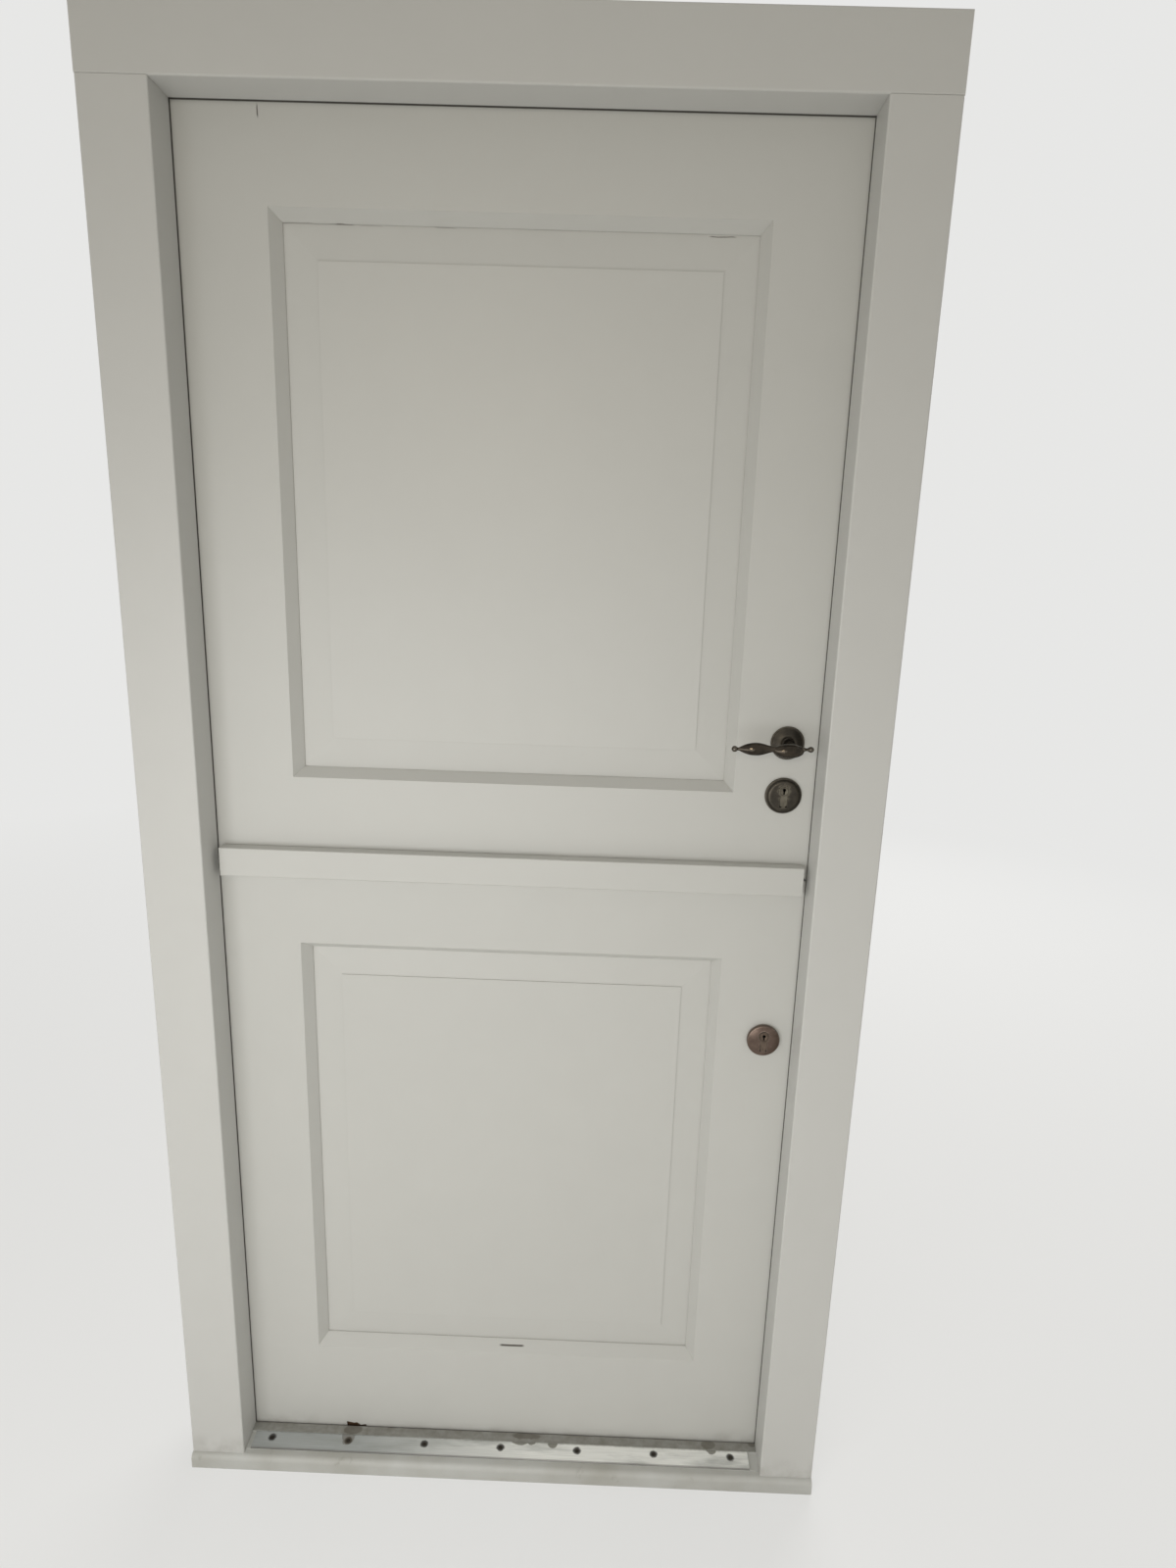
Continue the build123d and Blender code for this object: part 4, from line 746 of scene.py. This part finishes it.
def makeRose(section, height, face, out, hollow=False):
    foot = (lever["x"], face, height)
    rose = turnOnLathe("rose", foot, (0, out, 0), section, 48, hollow)
    useModifier(rose, "SUBSURF", levels=1, render_levels=1)
    return rose


def makeKeyRose(section, plugHeight, face, out):
    rose = makeRose(section, plugHeight - keyHole["roseDrop"], face, out)
    low, high = sorted((face - out * keyHole["behind"], face + out * keyHole["before"]))
    bore = [(0, keyHole["radius"]), (high - low, keyHole["radius"])]
    carve(rose, turnOnLathe("barrel", (lever["x"], low, plugHeight), (0, 1, 0), bore, 48))
    carve(rose, makeBlock(
        "web",
        (lever["x"] - keyHole["web"], low, plugHeight - keyHole["drop"]),
        (lever["x"] + keyHole["web"], high, plugHeight),
    ))
    return rose


for name, rose in roses.items():
    faces = ((lever["innerFace"], -1), (lever["outerFace"], 1))
    if "plugHeight" in rose:
        pair = [makeKeyRose(rose["section"], rose["plugHeight"], *face) for face in faces]
    else:
        pair = [makeRose(rose["section"], rose["height"], *face, hollow=True) for face in faces]
    turned = joinPieces(name + "_turned", pair)
    turned.data.materials.append(rose["look"])
    smoothOver(turned, 40)
    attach(turned, rose["body"])
    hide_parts(name)
print("roses made")

# Cylinder plugs: a dished face with a keyway that opens at its top

plugShape = {
    "radius": 6.45, "dishRadius": 4.4, "dish": 0.1, "lipRadius": 5.0, "bevel": 0.45, "hub": 0.4,
    "mouthRise": 1.9, "mouthRadius": 2.5, "mouthDepth": 5.0, "mouthEnd": 0.8,
    "slotHalf": 1.1, "slotTop": 2.6, "slotBottom": -4.8, "slotDepth": 22.0,
}


def makePlug(node, rider, look):
    low, high = (Vector(corner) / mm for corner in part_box(node))
    centre = (low + high) / 2
    out = -1 if centre.y < leafMiddle else 1
    front = low.y if out < 0 else high.y
    radius, dish, hub = plugShape["radius"], plugShape["dish"], plugShape["hub"]
    length = high.y - low.y
    piece = turnOnLathe(node + "_cut", (centre.x, front, centre.z), (0, -out, 0), [
        (dish, hub), (dish, plugShape["dishRadius"]), (0.0, plugShape["lipRadius"]), (0.0, radius - 0.5),
        (plugShape["bevel"], radius), (length, radius), (length, hub),
    ], 40)
    mouthZ, mouthRadius = centre.z + plugShape["mouthRise"], plugShape["mouthRadius"]
    carve(piece, turnOnLathe("mouth", (centre.x, front, mouthZ), (0, -out, 0), [
        (-1.0, mouthRadius), (0.4, mouthRadius), (plugShape["mouthDepth"], plugShape["mouthEnd"]),
    ], 24))
    sides = sorted((front + out, front - out * plugShape["slotDepth"]))
    carve(piece, makeBlock(
        "slot",
        (centre.x - plugShape["slotHalf"], sides[0], centre.z + plugShape["slotBottom"]),
        (centre.x + plugShape["slotHalf"], sides[1], centre.z + plugShape["slotTop"]),
    ))
    piece.data.materials.append(look)
    smoothOver(piece, 35)
    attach(piece, rider)
    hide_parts(node)


for leaf, look in (("upper", metals["upperPlug"]), ("lower", metals["lowerPlug"])):
    makePlug(leaf + "_inner_plug", leaf + "_inside_plug", look)
    makePlug(leaf + "_outer_plug", leaf + "_outside_plug", look)
print("cylinder plugs made")

# Threshold screws: countersunk, with a cross recess

screwShape = {
    "section": [(0.35, 2.6), (0.15, 3.5), (0.25, 3.95), (2.0, 2.0), (17.0, 1.9), (21.8, 0.5)],
    "recessHalf": 2.3, "recessWidth": 0.5, "recessDepth": 1.7,
}


def makeScrew(name, head, along):
    screw = turnOnLathe(name, head, along, screwShape["section"], 32)
    half, width, depth = screwShape["recessHalf"], screwShape["recessWidth"], screwShape["recessDepth"]
    for reach in ((half, width), (width, half)):
        corner = Vector((reach[0], reach[1], 1.0))
        carve(screw, makeBlock(
            "recess", Vector(head) - Vector((reach[0], reach[1], depth)), Vector(head) + corner
        ))
    return screw


firstScrew = makeScrew("screw", (strip["screwStart"], strip["screwY"], strip["top"]), (0, 0, -1))
screwRow = [firstScrew]
for count in range(1, strip["screws"]):
    screwRow.append(copyTo(firstScrew, "screw", (count * strip["screwStep"], 0, 0)))
thresholdScrews = joinPieces("threshold_screws_cut", screwRow)
thresholdScrews.data.materials.append(metals["screw"])
smoothOver(thresholdScrews, 35)
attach(thresholdScrews, "frame")
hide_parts("threshold_screws")
print("threshold screws made")

# The other screws keep their own shape and get a cross recess

crossCut = {"half": 1.9, "width": 0.45, "depth": 1.3, "merge": 0.01}


def mergedCopy(node, name):
    twin = bpy.data.objects.new(name, nodes[node].data.copy())
    bpy.context.scene.collection.objects.link(twin)
    pickUp(twin)
    bpy.ops.object.mode_set(mode="EDIT")
    bpy.ops.mesh.select_all(action="SELECT")
    bpy.ops.mesh.remove_doubles(threshold=crossCut["merge"] * mm)
    bpy.ops.object.mode_set(mode="OBJECT")
    return twin


def headPlaces(node, outward):  # the middle of each screw's head, in millimetres
    pickUp(mergedCopy(node, "screwRow"))
    bpy.ops.object.mode_set(mode="EDIT")
    bpy.ops.mesh.separate(type="LOOSE")
    bpy.ops.object.mode_set(mode="OBJECT")
    places = []
    for screw in list(bpy.context.selected_objects):
        spots = [vertex.co for vertex in screw.data.vertices]
        low = Vector([min(spot[axis] for spot in spots) for axis in range(3)])
        high = Vector([max(spot[axis] for spot in spots) for axis in range(3)])
        reach = abs((high - low).dot(outward)) / 2
        places.append(((low + high) / 2 + outward * reach) / mm)
        bpy.data.objects.remove(screw)
    return places


def cutCrosses(node, rider, outward):
    outward = Vector(outward)
    heads = headPlaces(node, outward)
    piece = mergedCopy(node, node + "_cut")
    sideways = [axis for axis in range(3) if not outward[axis]]
    for first, second in (sideways, sideways[::-1]):
        reach = Vector((crossCut["depth"],) * 3)
        reach[first], reach[second] = crossCut["half"], crossCut["width"]
        blocks = [makeBlock("recess", head - reach, head + reach) for head in heads]
        carve(piece, joinPieces("recess", blocks))
    piece.data.materials.clear()
    piece.data.materials.append(metals["bright"])
    smoothOver(piece, 35)
    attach(piece, rider)
    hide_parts(node)


cutCrosses("post_hinge_screws", "frame", (1, 0, 0))
cutCrosses("strike_screws", "frame", (-1, 0, 0))
for leaf in ("upper", "lower"):
    cutCrosses(leaf + "_hinge_screws", leaf + "_leaf", (-1, 0, 0))
    cutCrosses(leaf + "_lock_screws", leaf + "_leaf", (1, 0, 0))
print("hinge, strike and lock screws cut")

# Floor, light and camera

studio = {
    "floor": (0.80, 0.80, 0.79, 1.0), "backdrop": (0.80, 0.80, 0.79, 1.0),
    "mottle": (6, 3), "mottleEdge": (0.2, 0.9), "mottleDepth": 0.985,
    "floorRoughness": 0.9, "floorSpecular": 0.1,
    "glowNear": 0.65, "glowFrom": 0.3, "horizon": 5.0,
    "ambient": 0.24, "overhead": 0.44, "skyTone": (1.0, 0.965, 0.88, 1.0), "skyFall": (0.7, -0.05),
}
lights = {
    "key": {
        "place": (-0.4, -1.45, 1.0), "aim": (0.0, 0.06, 0.05), "size": (1.4, 1.3),
        "power": 14.5, "tone": (0.99, 0.995, 0.995),
    },
    "window": {
        "place": (-0.4, -3.0, 2.2), "aim": (0.3, 0.06, 1.1), "size": (0.25, 0.4),
        "power": 10.0, "tone": (1.0, 0.9, 0.72),
    },
    "back": {
        "place": (1.5, 4.2, 2.4), "aim": (0.0, 0.1, 1.1), "size": (4.0, 3.0),
        "power": 150.0, "tone": (1.0, 1.0, 1.0),
    },
}
view = {
    "place": (0.1303, -1.2822, 1.5658), "turn": (76.352, -1.7925, 1.1729),
    "sensor": 36, "lens": 21.168,
}


def makeLight(name, settings):
    data = bpy.data.lights.new(name + "Light", "AREA")
    data.shape = "RECTANGLE"
    data.size, data.size_y = settings["size"]
    data.energy = settings["power"]
    data.color = settings["tone"]
    light = bpy.data.objects.new(name + "Light", data)
    bpy.context.scene.collection.objects.link(light)
    light.location = settings["place"]
    aim = Vector(settings["aim"]) - Vector(settings["place"])
    light.rotation_euler = aim.to_track_quat("-Z", "Y").to_euler()


def seenDirectly(tree):  # by the camera, in a gloss or through glass
    path = place(tree, "ShaderNodeLightPath").outputs
    return largest(tree, path["Is Camera Ray"], path["Is Glossy Ray"], path["Is Transmission Ray"])


def floorMaterial():
    material, tree, shader, coords = startMaterial("paleFloor")
    mottle = ramp(tree, speckle(tree, coords, *studio["mottle"]), *studio["mottleEdge"])
    shade = dimmed(studio["floor"], studio["mottleDepth"])
    plug(tree, blendColour(tree, mottle, studio["floor"], shade), shader.inputs["Base Color"])
    shader.inputs["Roughness"].default_value = studio["floorRoughness"]
    shader.inputs["Specular IOR Level"].default_value = studio["floorSpecular"]
    glow = place(tree, "ShaderNodeEmission", {"Color": studio["backdrop"], "Strength": 1.0})
    away = place(tree, "ShaderNodeVectorMath", {0: coords}, operation="LENGTH").outputs["Value"]
    far = ramp(tree, away, studio["glowFrom"], studio["horizon"])
    glowNear = studio["glowNear"]
    share = calc(tree, "MINIMUM", plus(tree, times(tree, far, 1 - glowNear), glowNear), 1.0)
    share = times(tree, share, seenDirectly(tree))
    mixed = place(tree, "ShaderNodeMixShader", {0: share, 1: shader, 2: glow})
    output = next(n for n in tree.nodes if n.type == "OUTPUT_MATERIAL")
    plug(tree, mixed, output.inputs["Surface"])
    return material


for name, settings in lights.items():
    makeLight(name, settings)

putDown()
bpy.ops.mesh.primitive_plane_add(size=60, location=(0, 0, -0.5 * mm))
floor = settle(bpy.context.object, "studioFloor")
floor.data.materials.append(floorMaterial())

world = bpy.data.worlds.new("studioWorld")
bpy.context.scene.world = world
world.use_nodes = True
sky = world.node_tree
sky.nodes.clear()
upward = axes(sky, place(sky, "ShaderNodeTexCoord").outputs["Generated"])["Z"]
falling = ramp(sky, upward, *studio["skyFall"])
level = times(sky, falling, studio["ambient"] - studio["overhead"])
level = plus(sky, studio["overhead"], level)
dim = place(sky, "ShaderNodeBackground", {"Color": studio["skyTone"], "Strength": level})
pale = place(sky, "ShaderNodeBackground", {"Color": studio["backdrop"], "Strength": 1.0})
mixed = place(sky, "ShaderNodeMixShader", {0: seenDirectly(sky), 1: dim, 2: pale})
place(sky, "ShaderNodeOutputWorld", {"Surface": mixed})

cameraData = bpy.data.cameras.new("doorCamera")
cameraData.sensor_width = view["sensor"]
cameraData.lens = view["lens"]
camera = bpy.data.objects.new("doorCamera", cameraData)
camera.location = view["place"]
camera.rotation_euler = [math.radians(angle) for angle in view["turn"]]
bpy.context.scene.collection.objects.link(camera)
bpy.context.scene.camera = camera
bpy.context.scene.view_settings.view_transform = "Standard"
print("studio set")
